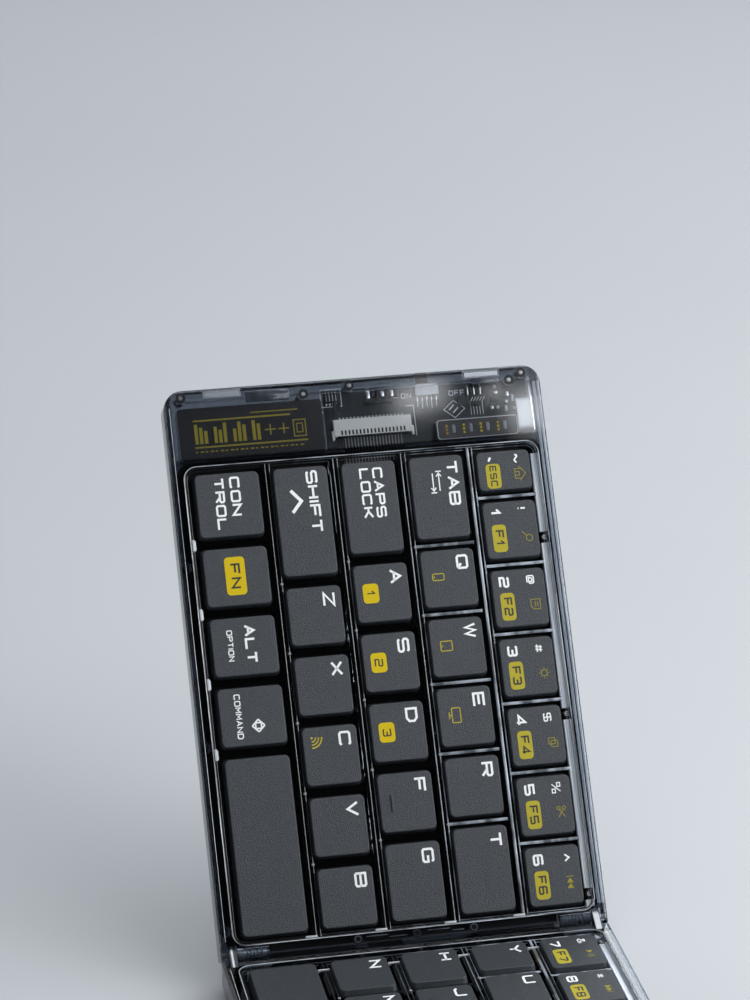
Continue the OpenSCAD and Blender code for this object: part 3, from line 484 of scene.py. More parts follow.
def icon(sh, kind, cx, cy, mat, z, line=0.24):
    """Small plain pictures, drawn in thin lines."""
    def go(points, closed=False, w=line):
        sh.band([(cx + x, cy + y) for x, y in points], z, w, mat, closed)
    if kind == "home":
        go([(-1.9, -0.1), (0, 1.5), (1.9, -0.1)])
        go([(-1.3, 0.2), (-1.3, -1.3), (1.3, -1.3), (1.3, 0.2)])
        go([(-0.5, -1.2), (-0.5, -0.2), (0.5, -0.2), (0.5, -1.2)])
    elif kind == "find":
        go(arc(0.5, 0.5, 0.85, 0, 350, 12), True)
        go([(-0.15, -0.15), (-1.3, -1.3)])
    elif kind == "note":
        go([(-1.3, 1.2), (1.3, 1.2), (1.3, -0.5), (0.6, -1.2), (-1.3, -1.2)], True)
        go([(-0.7, 0.5), (0.7, 0.5)])
        go([(-0.7, -0.1), (0.7, -0.1)])
    elif kind == "sun":
        go(arc(0, 0, 0.8, 0, 350, 12), True)
        for a in range(0, 360, 45):
            go(arc(0, 0, 1.05, a, a, 1)[:1] + arc(0, 0, 1.4, a, a, 1)[:1])
    elif kind == "pages":
        go(ring(-1.1, -1.1, 0.5, 0.6, 0.3, 2), True)
        go(ring(-0.4, -0.5, 1.2, 1.2, 0.3, 2), True)
    elif kind == "cut":
        go(arc(-1.0, 0.7, 0.45, 0, 350, 8), True)
        go(arc(-1.0, -0.7, 0.45, 0, 350, 8), True)
        go([(-0.6, 0.5), (1.4, -0.9)])
        go([(-0.6, -0.5), (1.4, 0.9)])
    elif kind in ("previous", "next", "play"):
        k = -1 if kind == "previous" else 1
        for x in (-0.9, 0.5) if kind != "play" else (-0.9,):
            low, tip, high = ((cx + k * (x + dx), cy + dy, z + LINE_HIGH)
                              for dx, dy in ((-0.6, -0.9), (0.7, 0), (-0.6, 0.9)))
            sh.face([low, tip, high] if k > 0 else [high, tip, low], mat)
        go([(k * 1.5, -0.9), (k * 1.5, 0.9)])
        if kind == "play":
            go([(0.7, -0.9), (0.7, 0.9)])
    elif kind in ("quiet", "softer", "louder"):
        go([(-1.4, -0.5), (-0.8, -0.5), (0, -1.2), (0, 1.2), (-0.8, 0.5), (-1.4, 0.5)], True)
        if kind == "quiet":
            go([(0.6, -0.5), (1.5, 0.5)])
            go([(0.6, 0.5), (1.5, -0.5)])
        else:
            go(arc(0, 0, 0.8, -50, 50, 4))
        if kind == "louder":
            go(arc(0, 0, 1.4, -50, 50, 4))
    elif kind == "lock":
        go(ring(-1.0, -1.2, 1.0, 0.2, 0.2, 2), True)
        go(arc(0, 0.2, 0.6, 0, 180, 6))
    elif kind == "phone":
        go(ring(-0.85, -1.5, 0.85, 1.5, 0.35, 2), True)
        go([(-0.3, -1.05), (0.3, -1.05)])
    elif kind == "tablet":
        go(ring(-1.25, -1.5, 1.25, 1.5, 0.3, 2), True)
        go([(-0.25, -1.1), (0.25, -1.1)])
    elif kind == "screen":
        go(ring(-1.9, -0.7, 1.9, 1.5, 0.25, 2), True)
        go([(0, -0.7), (0, -1.35)])
        go([(-0.9, -1.4), (0.9, -1.4)])
    elif kind == "waves":
        for r in (1.1, 1.9, 2.7):
            go(arc(-1.1, -1.1, r, 0, 90, 6), w=0.36)
        box_print(sh, cx - 1.3, cy - 1.3, cx - 0.7, cy - 0.7, 0.3, mat, z)
    elif kind == "ring":
        go(ring(-0.75, -0.75, 0.75, 0.75, 0.3, 2), True, 0.4)
        for x, y in ((-1, -1), (1, -1), (1, 1), (-1, 1)):
            go([(x * 1.6, 0), (0, y * 1.6)], False, 0.4)
    elif kind.startswith("go_"):
        k = math.radians({"go_up": 90, "go_down": 270, "go_left": 180, "go_right": 0}[kind])
        go([(x * math.cos(k) - y * math.sin(k), x * math.sin(k) + y * math.cos(k))
            for x, y in ((-0.5, 1.2), (1.0, 0), (-0.5, -1.2))], False, 0.45)


SHIFTED = {"1": "!", "2": "@", "3": "#", "4": "$", "5": "%", "6": "^", "7": "&", "8": "*", "9": "(",
           "0": ")", "minus": "_", "equals": "+"}
BASE = {"minus": "-", "equals": "="}
PAIRS = {"open": "[{", "close": "]}", "slash": "\\|", "semicolon": ";:", "quote": "'\"",
         "comma": ",<", "dot": ".>", "ask": "/?"}
ICONS = {"1": "find", "2": "note", "3": "sun", "4": "pages", "5": "cut", "6": "previous", "7": "play",
         "8": "next", "9": "quiet", "0": "softer", "minus": "louder", "equals": "lock"}
F_ROW = ["1", "2", "3", "4", "5", "6", "7", "8", "9", "0", "minus", "equals"]
# Materials of a key, by number: grain, white, yellow, dark, olive and dim
KEY_LOOKS = [KEY, WHITE, YELLOW, DARK, OLIVE, DIM]
G, W, Y, D, O, T = range(6)
CAP_EDGE = 0.24


def cap(sh, cx, cy, w, d):
    """A key cap: a drafted skirt, a softened edge and a flat top, with its underside set in."""
    def at_level(g, z, r):
        return [(cx + x, cy + y, z) for x, y in ring(-w / 2 - g, -d / 2 - g, w / 2 + g, d / 2 + g, r, 5)]
    edge = CAP_EDGE
    lean = DRAFT * edge / (KEY_TOP - SKIRT)
    rings = [at_level(-0.75, SKIRT + 1.6, 0.8), at_level(-0.35, SKIRT, 1.1), at_level(DRAFT, SKIRT, 1.5),
             at_level(lean + 0.01, KEY_TOP - edge, 1.35)]
    for i in range(1, 5):
        a = math.radians(90 * i / 4)
        rings.append(at_level(lean + 0.01 - edge * (1 - math.cos(a)), KEY_TOP - edge + edge * math.sin(a),
                              1.35 - edge * 0.6 * (1 - math.cos(a))))
    rings.append(at_level(lean - edge - 0.15, KEY_TOP, 1.0))
    sh.loft(rings, G)


def legend(sh, name, cx, cy, w, d):
    """Prints one key. x and y are counted from the key's front left corner."""
    x0, y0, z = cx - w / 2, cy - d / 2, KEY_TOP
    if name in F_ROW:
        n = F_ROW.index(name) + 1
        text(sh, BASE.get(name, name), x0 + 1.6, y0 + 1.9, 2.9, 2.7, 0.56, W, z)
        big = {"!": (2.6, 2.4, 0.46), "%": (2.8, 2.4, 0.26), "^": (2.7, 2.6, 0.4), "*": (2.4, 2.4, 0.3)}
        sw, sh_, sl = big.get(SHIFTED[name], (2.3, 2.1, 0.34))
        text(sh, SHIFTED[name], x0 + 1.75, y0 + 10.2 - sh_ / 2, sw, sh_, sl, W, z)
        box_print(sh, x0 + 5.9, y0 + 1.8, x0 + 13.1, y0 + 5.5, 0.95, O, z)
        centred(sh, "F%d" % n, x0 + 9.5, y0 + 3.65, 2.2 if n < 10 else 1.7, 2.3, 0.42, D, z + LINE_HIGH, 0.4)
        icon(sh, ICONS[name], x0 + 9.4, y0 + 10.9, T, z, 0.19)
    elif name == "backquote":
        text(sh, "`", x0 + 1.2, y0 + 2.4, 2.6, 1.5, 0.55, W, z)
        text(sh, "~", x0 + 0.9, y0 + 9.4, 2.6, 1.8, 0.42, W, z)
        box_print(sh, x0 + 3.2, y0 + 2.1, x0 + 9.7, y0 + 5.9, 0.95, O, z)
        centred(sh, "ESC", x0 + 6.45, y0 + 4.0, 1.6, 1.8, 0.32, D, z + LINE_HIGH, 0.35)
        icon(sh, "home", x0 + 6.2, y0 + 11.0, T, z, 0.19)
    elif len(name) == 1 and name.isalpha():
        text(sh, name.upper(), x0 + 1.5, y0 + d - 4.7, 3.8, 3.15, 0.6, W, z)
        if name in "asd":
            box_print(sh, x0 + 4.8, y0 + 1.9, x0 + 9.9, y0 + 6.0, 0.95, Y, z)
            digit = {"a": "1", "s": "2", "d": "3"}[name]
            centred(sh, digit, x0 + 7.35, y0 + 3.95, 2.1, 2.2, 0.34, D, z + LINE_HIGH)
        if name in "qwe":
            icon(sh, {"q": "phone", "w": "tablet", "e": "screen"}[name], x0 + 6.9, y0 + 4.1, O, z, 0.26)
        if name == "c":
            icon(sh, "waves", x0 + 3.6, y0 + 3.3, O, z)
        if name in "fj":
            sh.pad(x0 + w / 2 - 2.2, y0 + 2.9, x0 + w / 2 + 2.2, y0 + 3.5, z - 0.05, z + 0.24, 0.29, 0.14, G)
    elif name == "tab":
        text(sh, "TAB", x0 + 1.3, y0 + d - 4.4, 3.65, 3.0, 0.58, W, z, 0.45)
        for k, yy in ((1, 7.3), (-1, 5.7)):
            a, b = (x0 + 4.4, x0 + 9.1) if k > 0 else (x0 + 9.1, x0 + 4.4)
            sh.band([(b, y0 + yy), (a, y0 + yy)], z, 0.3, W)
            sh.band([(a + k * 0.9, y0 + yy + 0.65), (a, y0 + yy), (a + k * 0.9, y0 + yy - 0.65)], z, 0.3, W)
            sh.band([(a - k * 0.45, y0 + yy - 0.75), (a - k * 0.45, y0 + yy + 0.75)], z, 0.3, W)
    elif name == "caps":
        text(sh, "CAPS", x0 + 1.6, y0 + d - 6.0, 3.0, 2.65, 0.52, W, z)
        text(sh, "LOCK", x0 + 1.6, y0 + d - 9.4, 3.0, 2.65, 0.52, W, z)
    elif name == "control":
        text(sh, "CON", x0 + 1.0, y0 + 8.8, 3.15, 2.65, 0.55, W, z)
        text(sh, "TROL", x0 + 1.0, y0 + 4.7, 3.15, 2.65, 0.55, W, z)
    elif name in ("shift", "right_shift"):
        left = x0 + 1.0 if name == "shift" else x0 + w - 17.2
        text(sh, "SHIFT", left, y0 + 8.3, 3.5, 3.0, 0.58, W, z)
        sh.band([(left + 4.9, y0 + 4.0), (left + 7.8, y0 + 6.5), (left + 10.7, y0 + 4.0)], z, 0.85, W)
    elif name in ("fn", "right_fn"):
        cx2, cy2 = x0 + 7.15, y0 + 7.9
        box_print(sh, cx2 - 4.95, cy2 - 2.6, cx2 + 4.95, cy2 + 2.6, 1.0, Y, z)
        centred(sh, "FN", cx2, cy2, 2.9, 2.6, 0.5, D, z + LINE_HIGH, 0.7)
    elif name in ("alt", "right_alt"):
        text(sh, "ALT", x0 + 1.9, y0 + 8.4, 3.1, 2.8, 0.6, W, z, 0.35)
        text(sh, "OPTION", x0 + 3.0, y0 + 3.9, 1.35, 1.5, 0.27, W, z, 0.2)
    elif name == "meta":
        text(sh, "COMMAND", x0 + 1.5, y0 + 4.0, 1.45, 1.6, 0.28, W, z, 0.22)
        icon(sh, "ring", x0 + 9.9, y0 + 9.6, W, z)
    elif name in PAIRS:
        text(sh, PAIRS[name][0], x0 + 1.6, y0 + 2.6, 2.4, 2.6, 0.46, W, z)
        text(sh, PAIRS[name][1], x0 + 1.6, y0 + 8.6, 2.4, 2.6, 0.46, W, z)
    elif name == "back":
        text(sh, "BACK", x0 + w - 11.5, y0 + d - 4.3, 2.3, 2.2, 0.42, W, z)
    elif name == "enter":
        text(sh, "ENTER", x0 + w - 18.0, y0 + d - 4.4, 3.0, 2.7, 0.5, W, z)
    elif name.startswith("go_"):
        icon(sh, name, cx, cy, W, z)
    elif name == "up":
        icon(sh, "go_up", cx, cy, W, z)


for r, name, u, y, w, d in key_spots("left"):
    sh = Shape(KEY_LOOKS)
    cap(sh, u, y, w, d)
    legend(sh, name, u, y, w, d)
    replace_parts(sh.make("cap_" + name, LEFT, "key_" + name), "key_" + name)
for row in range(5):
    sh = Shape(KEY_LOOKS)
    for r, name, u, y, w, d in key_spots("right"):
        if r == row:
            cap(sh, u, y, w, d)
            legend(sh, name, u, y, w, d)
    body = "right_keys_row_%d" % (row + 1)
    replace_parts(sh.make("caps_row_%d" % (row + 1), RIGHT, body), body)

# CAD nodes: their looks, and soft edges on those that show
slots = {p["node"]: p["material_slot"] for p in frame["record"]["subparts"]}
for name, o in nodes.items():
    o.data.materials.clear()
    o.data.materials.append(SHELL_LOW if "bottom_shell" in name
                            else LINK_STEEL_SHADED if name == "hinge_link" else CAD_LOOKS[slots[name]])
WELD_DISTANCE, SHELL_EDGE, SMALL_EDGE = 0.000004, 0.00028, 0.0001
for name in ("left_top_shell", "right_top_shell", "left_bottom_shell", "right_bottom_shell", "hinge_link",
             "left_hinge_shafts", "right_hinge_shafts", "ribbon_connector", "usb_c_port", "left_magnets",
             "right_magnets"):
    o = nodes[name]
    o.modifiers.new("weld", "WELD").merge_threshold = WELD_DISTANCE
    flat = o.modifiers.new("flat", "DECIMATE")
    flat.decimate_type = "DISSOLVE"
    flat.angle_limit = math.radians(1.5)
    edge = o.modifiers.new("edge", "BEVEL")
    edge.width = SHELL_EDGE if "shell" in name else SMALL_EDGE
    edge.segments = 3
    edge.limit_method = "ANGLE"
    edge.angle_limit = math.radians(40)


# The electronics bay


def left_box(sh, s0, y0, s1, y1, z0, z1, r, edge, mat=0):
    """A slab on the left half, from s0 to s1."""
    sh.pad(-s1, y0, -s0, y1, z0, z1, r, edge, mat)


def left_line(sh, pts, z, width, mat=0, closed=False):
    """A printed line on the left half, with its points as (s, y)."""
    sh.band([(-s, y) for s, y in pts], z, width, mat, closed)


# Battery print: plain lines and bars, read along y with its top outwards
BAT_S, BAT_Y, BAT_Z = 126.22, -46.195, 0.9
sh = Shape([PRINT_GOLD])
b0, b1 = BAT_Y + 3.8, BAT_Y + 33.2
for s, a, b, wd in ((11.4, b0 + 15, b1 - 2, 0.3), (10.2, b0, b1 - 4, 0.42), (3.2, b0, b1, 0.42)):
    left_line(sh, [(BAT_S + s, a), (BAT_S + s, b)], BAT_Z, wd)
for i in range(14):
    y = b0 + 0.6 + i * 1.25
    if i % 4 != 3:
        left_line(sh, [(BAT_S + 4.1, y), (BAT_S + 9.3 - 0.9 * (i % 3), y)], BAT_Z, 0.85)
for y in (b1 - 9.5, b1 - 6.0):
    left_line(sh, [(BAT_S + 5.2, y), (BAT_S + 8.0, y)], BAT_Z, 0.32)
for y0, y1 in ((7.4, 4.6), (11, 8.1)):
    left_line(sh, [(BAT_S + 6.6, b1 - y0), (BAT_S + 6.6, b1 - y1)], BAT_Z, 0.32)
for wd, corners in ((0.28, ((4.3, 3.4), (4.3, 0.3), (8.6, 0.3), (8.6, 3.4))),
                    (0.24, ((5.3, 2.6), (7.6, 2.6), (7.6, 1.1), (5.3, 1.1)))):
    left_line(sh, [(BAT_S + ds, b1 - dy) for ds, dy in corners], BAT_Z, wd, 0, True)
for i in range(22):
    y = b0 + i * 1.3
    left_line(sh, [(BAT_S + 2.0, y), (BAT_S + 2.0, y + 0.6 + 0.3 * (i % 2))], BAT_Z, 0.34)
sh.make("battery_print", LEFT, "left_half")

# Connector: pins on the outer edge, comb and latch on the inner edge
C_S, C_Y, C_W, C_L, C_Z = 129.62, -5.895, 4.4, 20.5, 0.4
sh = Shape([SOLDER, CHIP, IVORY])
PINS = 18
for i in range(PINS):
    y = C_Y + 2.0 + i * (C_L - 4.0) / (PINS - 1)
    left_box(sh, C_S + C_W - 0.05, y - 0.2, C_S + C_W + 0.75, y + 0.2, BOARD_TOP, BOARD_TOP + 0.35,
             0.05, 0.05, 0)
    left_box(sh, C_S + 0.25, y - 0.22, C_S + 1.45, y + 0.22, C_Z - 0.05, C_Z + 0.06, 0.05, 0.03, 1)
left_box(sh, C_S - 0.35, C_Y + 0.9, C_S + 0.3, C_Y + C_L - 0.9, BOARD_TOP + 0.7, C_Z - 0.1, 0.1, 0.08, 1)
for y in (C_Y - 0.55, C_Y + C_L - 0.1):
    left_box(sh, C_S - 0.9, y, C_S + 1.6, y + 0.65, BOARD_TOP, C_Z - 0.3, 0.15, 0.1, 2)
sh.make("connector_pins", LEFT, "left_half")

# Inside of the charging receptacle: a dark liner and the tongue with its contacts
PORT_S, PORT_W, PORT_H, PORT_Z, PORT_BACK = 127.52, 8.94, 3.16, BOARD_TOP - 0.4, 49.395
sh = Shape([CHIP, SOLDER])


def mouth(inset, y):
    """Outline of the receptacle's opening at a place along y."""
    w, h = PORT_W / 2 - inset, PORT_H / 2 - inset
    return [(-(PORT_S + PORT_W / 2) + x, y, PORT_Z + z) for x, z in ring(-w, -h, w, h, h, 6)]


sh.loft([mouth(0.37, PORT_BACK - 5.2), mouth(0.37, PORT_BACK - 0.3), mouth(0.45, PORT_BACK - 0.3),
         mouth(0.45, PORT_BACK - 4.9)])
left_box(sh, PORT_S + 1.3, PORT_BACK - 4.9, PORT_S + PORT_W - 1.3, PORT_BACK - 0.9,
         PORT_Z - 0.33, PORT_Z + 0.33, 0.2, 0.1, 0)
for i in range(12):
    s0 = PORT_S + 1.75 + i * 0.47
    left_box(sh, s0, PORT_BACK - 3.4, s0 + 0.26, PORT_BACK - 1.1, PORT_Z + 0.31, PORT_Z + 0.36, 0.05, 0.02, 1)
sh.make("port_tongue", LEFT, "left_half")

# Lines on the ribbon cable, and on its run below the wall of the well
sh = Shape([PIN])
R_Y, R_W, R_Z, R_LINES = -3.645, 16.0, -0.7, 19
for i in range(R_LINES):
    y = R_Y + 0.6 + i * (R_W - 1.2) / (R_LINES - 1)
    left_line(sh, [(C_S + 0.1, y), (125.1, y)], R_Z, 0.24)
    left_line(sh, [(124.2, y), (122.95, y)], PLATE_TOP + 0.2, 0.24)
sh.make("ribbon_lines", LEFT, "left_half")

# Indicator panel: outline, four lights and the mark beside each
P_S, P_Y, P_W, P_L, P_Z = 126.22, 20.795, 5.6, 21.8, 1.1
sh = Shape([SILK, GLOW_OFF, YELLOW, AMBER])
left_line(sh, ring(P_S + 0.3, P_Y + 0.3, P_S + P_W - 0.3, P_Y + P_L - 0.3, 0.8, 4), P_Z, 0.2, 0, True)
for i in range(4):
    y = P_Y + 4.6 + i * 4.55
    sh.pad(-(P_S + 4.0), y - 0.45, -(P_S + 1.7), y + 0.45, P_Z - 0.05, P_Z + 0.08, 0.44, 0.06, 1)
    for k in range(3):
        left_line(sh, [(P_S + 1.5 + 0.95 * k, y - 1.85), (P_S + 2.1 + 0.95 * k, y - 1.85)], P_Z,
                  0.62 - 0.12 * ((i + k) % 2), 3 if i == 0 else 2)
sh.make("panel_marks", LEFT, "left_half")

# Board: slide switch, small parts, pads, printed frames, traces and words
sh = Shape([PALE, SOLDER, SILK, CHIP])


class Turned:
    """Prints with lines that read along y, their tops towards the outer end."""

    def __init__(self, s0, y0):
        self.s0, self.y0 = s0, y0

    def band(self, points, z, width, mat=0, closed=False):
        sh.band([(-(self.s0 + b), self.y0 + a) for a, b in points], z, width, mat, closed)


def chip(s0, y0, s1, y1, high, mat=3):
    """A small part that stands on the board."""
    left_box(sh, s0, y0, s1, y1, BOARD_TOP, BOARD_TOP + high, 0.08, 0.06, mat)


SW_S, SW_Y = 139.12, 16.4
left_box(sh, SW_S - 0.35, SW_Y + 0.1, SW_S + 2.15, SW_Y + 6.3, BOARD_TOP + 1.2, BOARD_TOP + 1.72, 0.2, 0.12)
for i in range(5):
    y = SW_Y + 0.7 + i * 1.25
    chip(SW_S - 1.5, y - 0.2, SW_S - 0.2, y + 0.2, 0.22, 1)
    left_line(sh, [(SW_S - 1.6, y), (SW_S - 3.0 - 0.5 * (i % 2), y)], BOARD_TOP, 0.16, 2)
for word, s0, y0 in (("ON", 138.6, 12.9), ("OFF", 138.4, 25.6)):
    text(Turned(s0, y0), word, 0, 0, 1.2, 1.4, 0.22, 2, BOARD_TOP, 0.3)
# A framed chip with its pads
left_line(sh, [(137.9, -8.3), (142.3, -8.3), (142.3, -2.9), (137.9, -2.9)], BOARD_TOP, 0.2, 2, True)
chip(138.9, -7.3, 141.4, -3.9, 0.7)
for i in range(4):
    for s0 in (138.3, 141.45):
        chip(s0, -7.1 + i * 0.85, s0 + 0.55, -6.7 + i * 0.85, 0.25, 1)
    left_line(sh, [(139.3, -6.9 + i * 0.85), (141.0, -6.9 + i * 0.85)], BOARD_TOP + 0.7, 0.14, 2)
# A cluster of small parts
for i, (ds, mat) in enumerate(((0, 1), (0.3, 3), (0, 3), (0.4, 1), (0, 3), (0.3, 1), (0, 3))):
    y = 3.7 + i * 1.25
    chip(139.2 + ds, y, 141.4 - ds, y + 0.95, 0.35 if mat == 1 else 0.6, mat)
    left_line(sh, [(139.0, y - 0.15), (139.0, y + 1.0)], BOARD_TOP, 0.16, 2)
# The connector's frame, and a diamond with two ticks
for points, wd, closed in (
        ([(128.6, -9.6), (136.6, -9.6), (136.6, -8.0)], 0.18, False),
        ([(136.6, 13.8), (136.6, 15.9), (128.6, 15.9)], 0.18, False),
        ([(137.1, 26.6), (134.8, 29.4), (132.5, 26.6), (134.8, 23.8)], 0.2, True),
        ([(136.0, 26.6), (134.6, 25.2)], 0.4, False), ([(135.2, 27.6), (133.8, 26.2)], 0.4, False)):
    left_line(sh, points, BOARD_TOP, wd, 2, closed)
# A comb of contacts, small parts near the receptacle, and traces between them
for i in range(6):
    chip(138.2, 30.4 + i * 0.85, 140.8, 30.75 + i * 0.85, 0.3, 3 if i % 2 else 1)
for s0, y0, ds, dy, mat in (
        (134.0, 36.2, 0.8, 0.8, 1), (134.0, 37.8, 0.8, 0.8, 0), (136.0, 36.4, 1.0, 1.8, 3),
        (138.0, 37.4, 0.7, 1.1, 1), (133.2, 40.0, 1.5, 0.7, 0), (135.4, 40.2, 0.7, 0.7, 1),
        (137.2, 40.6, 1.1, 0.8, 1), (135.6, 42.0, 1.9, 0.7, 0), (133.4, 42.2, 0.8, 0.8, 1),
        (139.4, 37.6, 0.9, 0.6, 0)):
    chip(s0, y0, s0 + ds, y0 + dy, 0.4, mat)
for i in range(5):
    left_line(sh, [(132.9, 31.0 + i * 0.8), (136.4, 31.0 + i * 0.8), (137.6, 31.9 + i * 0.8)],
              BOARD_TOP, 0.15, 2)
sh.make("board_parts", LEFT, "left_half")

# Blocks of smoky plastic beside the closing magnets, and a bright frame round each magnet
sh = Shape([GLASS_GREY, SILK])
left_box(sh, 140.5, -28.2, 143.3, -16.6, 0.1, 1.1, 0.4, 0.2, 0)
left_box(sh, 140.6, 31.6, 142.2, 38.6, 0.3, 1.0, 0.3, 0.15, 0)
for y in (-34.2, 34.2):
    left_line(sh, [(142.2, y - 4.8), (143.85, y - 4.8), (143.85, y + 4.8), (142.2, y + 4.8)],
              1.15, 0.14, 1, True)
sh.make("bay_blocks", LEFT, "left_half")

# Pale grey pins at the crossings of the ribs, which paint the glints on the ribs' rounded crossings, and the pale
# tabs at the front wall of the well
TAB_FRONT, TAB_STEP, TAB_BACK, TAB_LOW = -45.85, -45.15, -44.85, RIB_TOP - 1.2
for half, place, body, *_ in HALVES:
    sh = Shape([PALE, PIN])
    for r, u, y, d in key_gaps(half):
        # Painted glint: a small grey pin at each crossing of the ribs
        if r < 4:
            sh.disc(u + GAP_X / 2, y - d / 2 - 0.75, RIB_TOP - 0.7, RIB_TOP + 0.2, 0.4, 1, 14, 0.12)
        else:
            sh.pad(u + 0.15, TAB_FRONT, u + GAP_X - 0.15, TAB_STEP, TAB_LOW, RIB_TOP + 0.8, 0.15, 0.1)
            sh.pad(u + 0.4, TAB_STEP, u + GAP_X - 0.4, TAB_BACK, TAB_LOW, RIB_TOP + 0.2, 0.15, 0.1)
    sh.make(half + "_pins", place, body)

# Ledges along the back wall of each well, broken at the screw towers and once more on the right, in a pale
# streaked colour that paints the light let in by the back wall; and the painted highlights of the lip of the
# well's edge and of the edges of the ribs
LEDGE_START, LEDGE_FRONT, LEDGE_BACK = 2.6, 44.80, 46.86
TOWERS, TOWER_Y, TOWER_HALF, RIGHT_BREAK = [5.9, 52.3, 98.7], 46.0, 1.5, 120.0
profile = [
    (LEDGE_FRONT, -0.5), (LEDGE_FRONT, 0.62), (LEDGE_FRONT + 0.06, 0.80), (LEDGE_FRONT + 0.2, RIB_TOP),
    (LEDGE_BACK - 0.62, RIB_TOP), (LEDGE_BACK - 0.5, RIB_TOP + 0.05), (LEDGE_BACK - 0.42, RIB_TOP + 0.3),
    (LEDGE_BACK - 0.3, RIB_TOP + 0.42), (LEDGE_BACK, RIB_TOP + 0.42), (LEDGE_BACK, -0.5)]
for half, place, body, sign, end in HALVES:
    sh = Shape([LEDGE_PAINTED_LIGHT, CHIP, NICKEL])
    stops = [LEDGE_START]
    for k in TOWERS + ([] if half == "left" else [RIGHT_BREAK]):
        stops += [k - TOWER_HALF, k + TOWER_HALF]
    stops.append(end - WELL_CORNER)
    for a, b in zip(stops[::2], stops[1::2]):
        sh.loft([[(u, y, z) for y, z in profile] for u in sorted((sign * a, sign * b))])
    for k in TOWERS:
        sh.disc(sign * k, TOWER_Y, -1.8, RIB_TOP - 0.25, 1.0, 1, 24, 0.1)
        sh.disc(sign * k, TOWER_Y, RIB_TOP - 0.3, RIB_TOP - 0.1, 0.62, 2, 20, 0.08, 0.4)
        sh.disc(sign * k, TOWER_Y, RIB_TOP - 0.3, RIB_TOP - 0.16, 0.2, 2, 14, 0.06)
    sh.make(half + "_ledge", place, body)

    sh = Shape([LIP_HIGHLIGHT, RIB_PAINTED_LIGHT, PALE])
    u0, u1 = sorted((sign * NOSE_RIM, sign * end))
    # Painted highlights: beads along the well's wall, each as (distance inwards, height, radius, material)
    for g, z, thick, mat in ((0.1, RIM_TOP - 0.13, 0.13, 0), (0.42, RIB_TOP + 0.1, 0.12, 1),
                             (1.02, RIB_TOP - 0.35, 0.10, 1)):
        wall = ring(u0 + g, WELL_FRONT + g, u1 - g, WELL_BACK - g, WELL_CORNER - g, 8)
        sh.tube([(x, y, z) for x, y in wall], thick, mat)
    # Painted highlight beads along the tops of the row ribs, and a pale tab at the hinge end of each
    for r in range(4):
        y = BACK - (r + 1) * PITCH_Y + GAP_Y / 2
        beads = ((0.0, 0.36, 0.3), (1.1, 0.14, 1)) if r == 0 else ((0.1, 0.16, 1), (1.25, 0.14, 1))
        for off, thick, flat in beads:
            sh.tube([(u0 + 0.3, y + off, RIB_TOP), (u1 - 0.3, y + off, RIB_TOP)], thick, 1, False, flat)
        tab0, tab1, low = (-2.6, -2.1, -2.6) if half == "left" else (5.6, 6.1, -1.5)
        sh.pad(tab0, y + low, tab1, y + low + 3.0, RIB_TOP - 0.5, RIB_TOP + 0.25, 0.1, 0.08, 2)
    # Painted highlight beads along the column ribs of the two back rows
    for r, u, y, d in key_gaps(half):
        if r < 2:
            u, z = u + GAP_X / 2, RIB_TOP - 0.02
            sh.tube([(u, y - d / 2 - 0.9, z), (u, y + d / 2 + 0.9, z)], 0.38, 1, False, 0.3)
    sh.make(half + "_well_painted_highlights", place, body)

# Painted highlights: grey streaks set within the back walls, and a thin line along each front rim, for the light
# that the walls' faces and edges refract through the smoky plastic
STREAK_START, STREAK_END = 3.2, 140.0
for half, place, body, sign, _ in HALVES:
    sh = Shape([LEDGE_PAINTED_LIGHT])
    u0, u1 = sorted((sign * STREAK_START, sign * STREAK_END))
    for y0, y1 in ((47.45, 48.25), (48.5, 49.15)):
        sh.pad(u0, y0, u1, y1, 1.7, 1.95, 0.1, 0.05)
    sh.tube([(u0, -48.2, RIM_TOP), (u1, -48.2, RIM_TOP)], 0.05, 0, False)
    sh.make(half + "_wall_painted_highlights", place, body)

# Bosses inside the round noses at the hinge, each with a painted highlight ring, and bright strips that paint the
# highlights of the slots
for half, place, body, sign, _ in HALVES:
    sh = Shape([CHIP, LIP_HIGHLIGHT])
    for y in (-14.8, 0.3, 15.0):
        sh.disc(sign * 0.5, y, 1.2, 1.9, 1.25, 0, 20, 0.1)
        sh.disc(sign * 0.5, y, 1.8, 2.0, 0.85, 1, 20, 0.05, 0.7)
    for y0, y1, s0 in ((-12.6, -7.2, 0.9), (-6.8, -2.2, 0.3), (3.2, 8.8, 0.9), (9.4, 12.4, 0.3)):
        sh.pad(sign * s0 - 0.1, y0, sign * s0 + 0.1, y1, 1.8, 2.0, 0.1, 0.05, 1)
    sh.make(half + "_nose_marks", place, body)

# Rings of the screw towers under the window
sh = Shape([CHIP, NICKEL])
for s0, y0, z0 in ((142.72, -44.895, 1.2), (142.72, 44.895, 1.2), (141.42, -12.995, 1.22),
                   (142.72, -0.795, 1.22), (141.02, 41.495, 1.22)):
    sh.disc(-s0, y0, z0 - 0.25, z0, 1.25, 0, 24, 0.08, 0.62)
    sh.disc(-s0, y0, z0 - 0.5, z0 - 0.12, 0.4, 1, 16, 0.1)
sh.make("bay_rings", LEFT, "left_half")

# Stage, light and camera
FLOOR_HALF = 4.0
floor = bpy.data.meshes.new("floor")
floor.from_pydata([(x * FLOOR_HALF, y * FLOOR_HALF, 0) for x, y in ((-1, -1), (1, -1), (1, 1), (-1, 1))],
                  [], [(0, 1, 2, 3)])
floor_o = bpy.data.objects.new("floor", floor)
bpy.context.scene.collection.objects.link(floor_o)
floor.materials.append(material("floor_pale", (0.50, 0.515, 0.53), (0.47, 0.485, 0.50), 3, 0.6, 0.7))

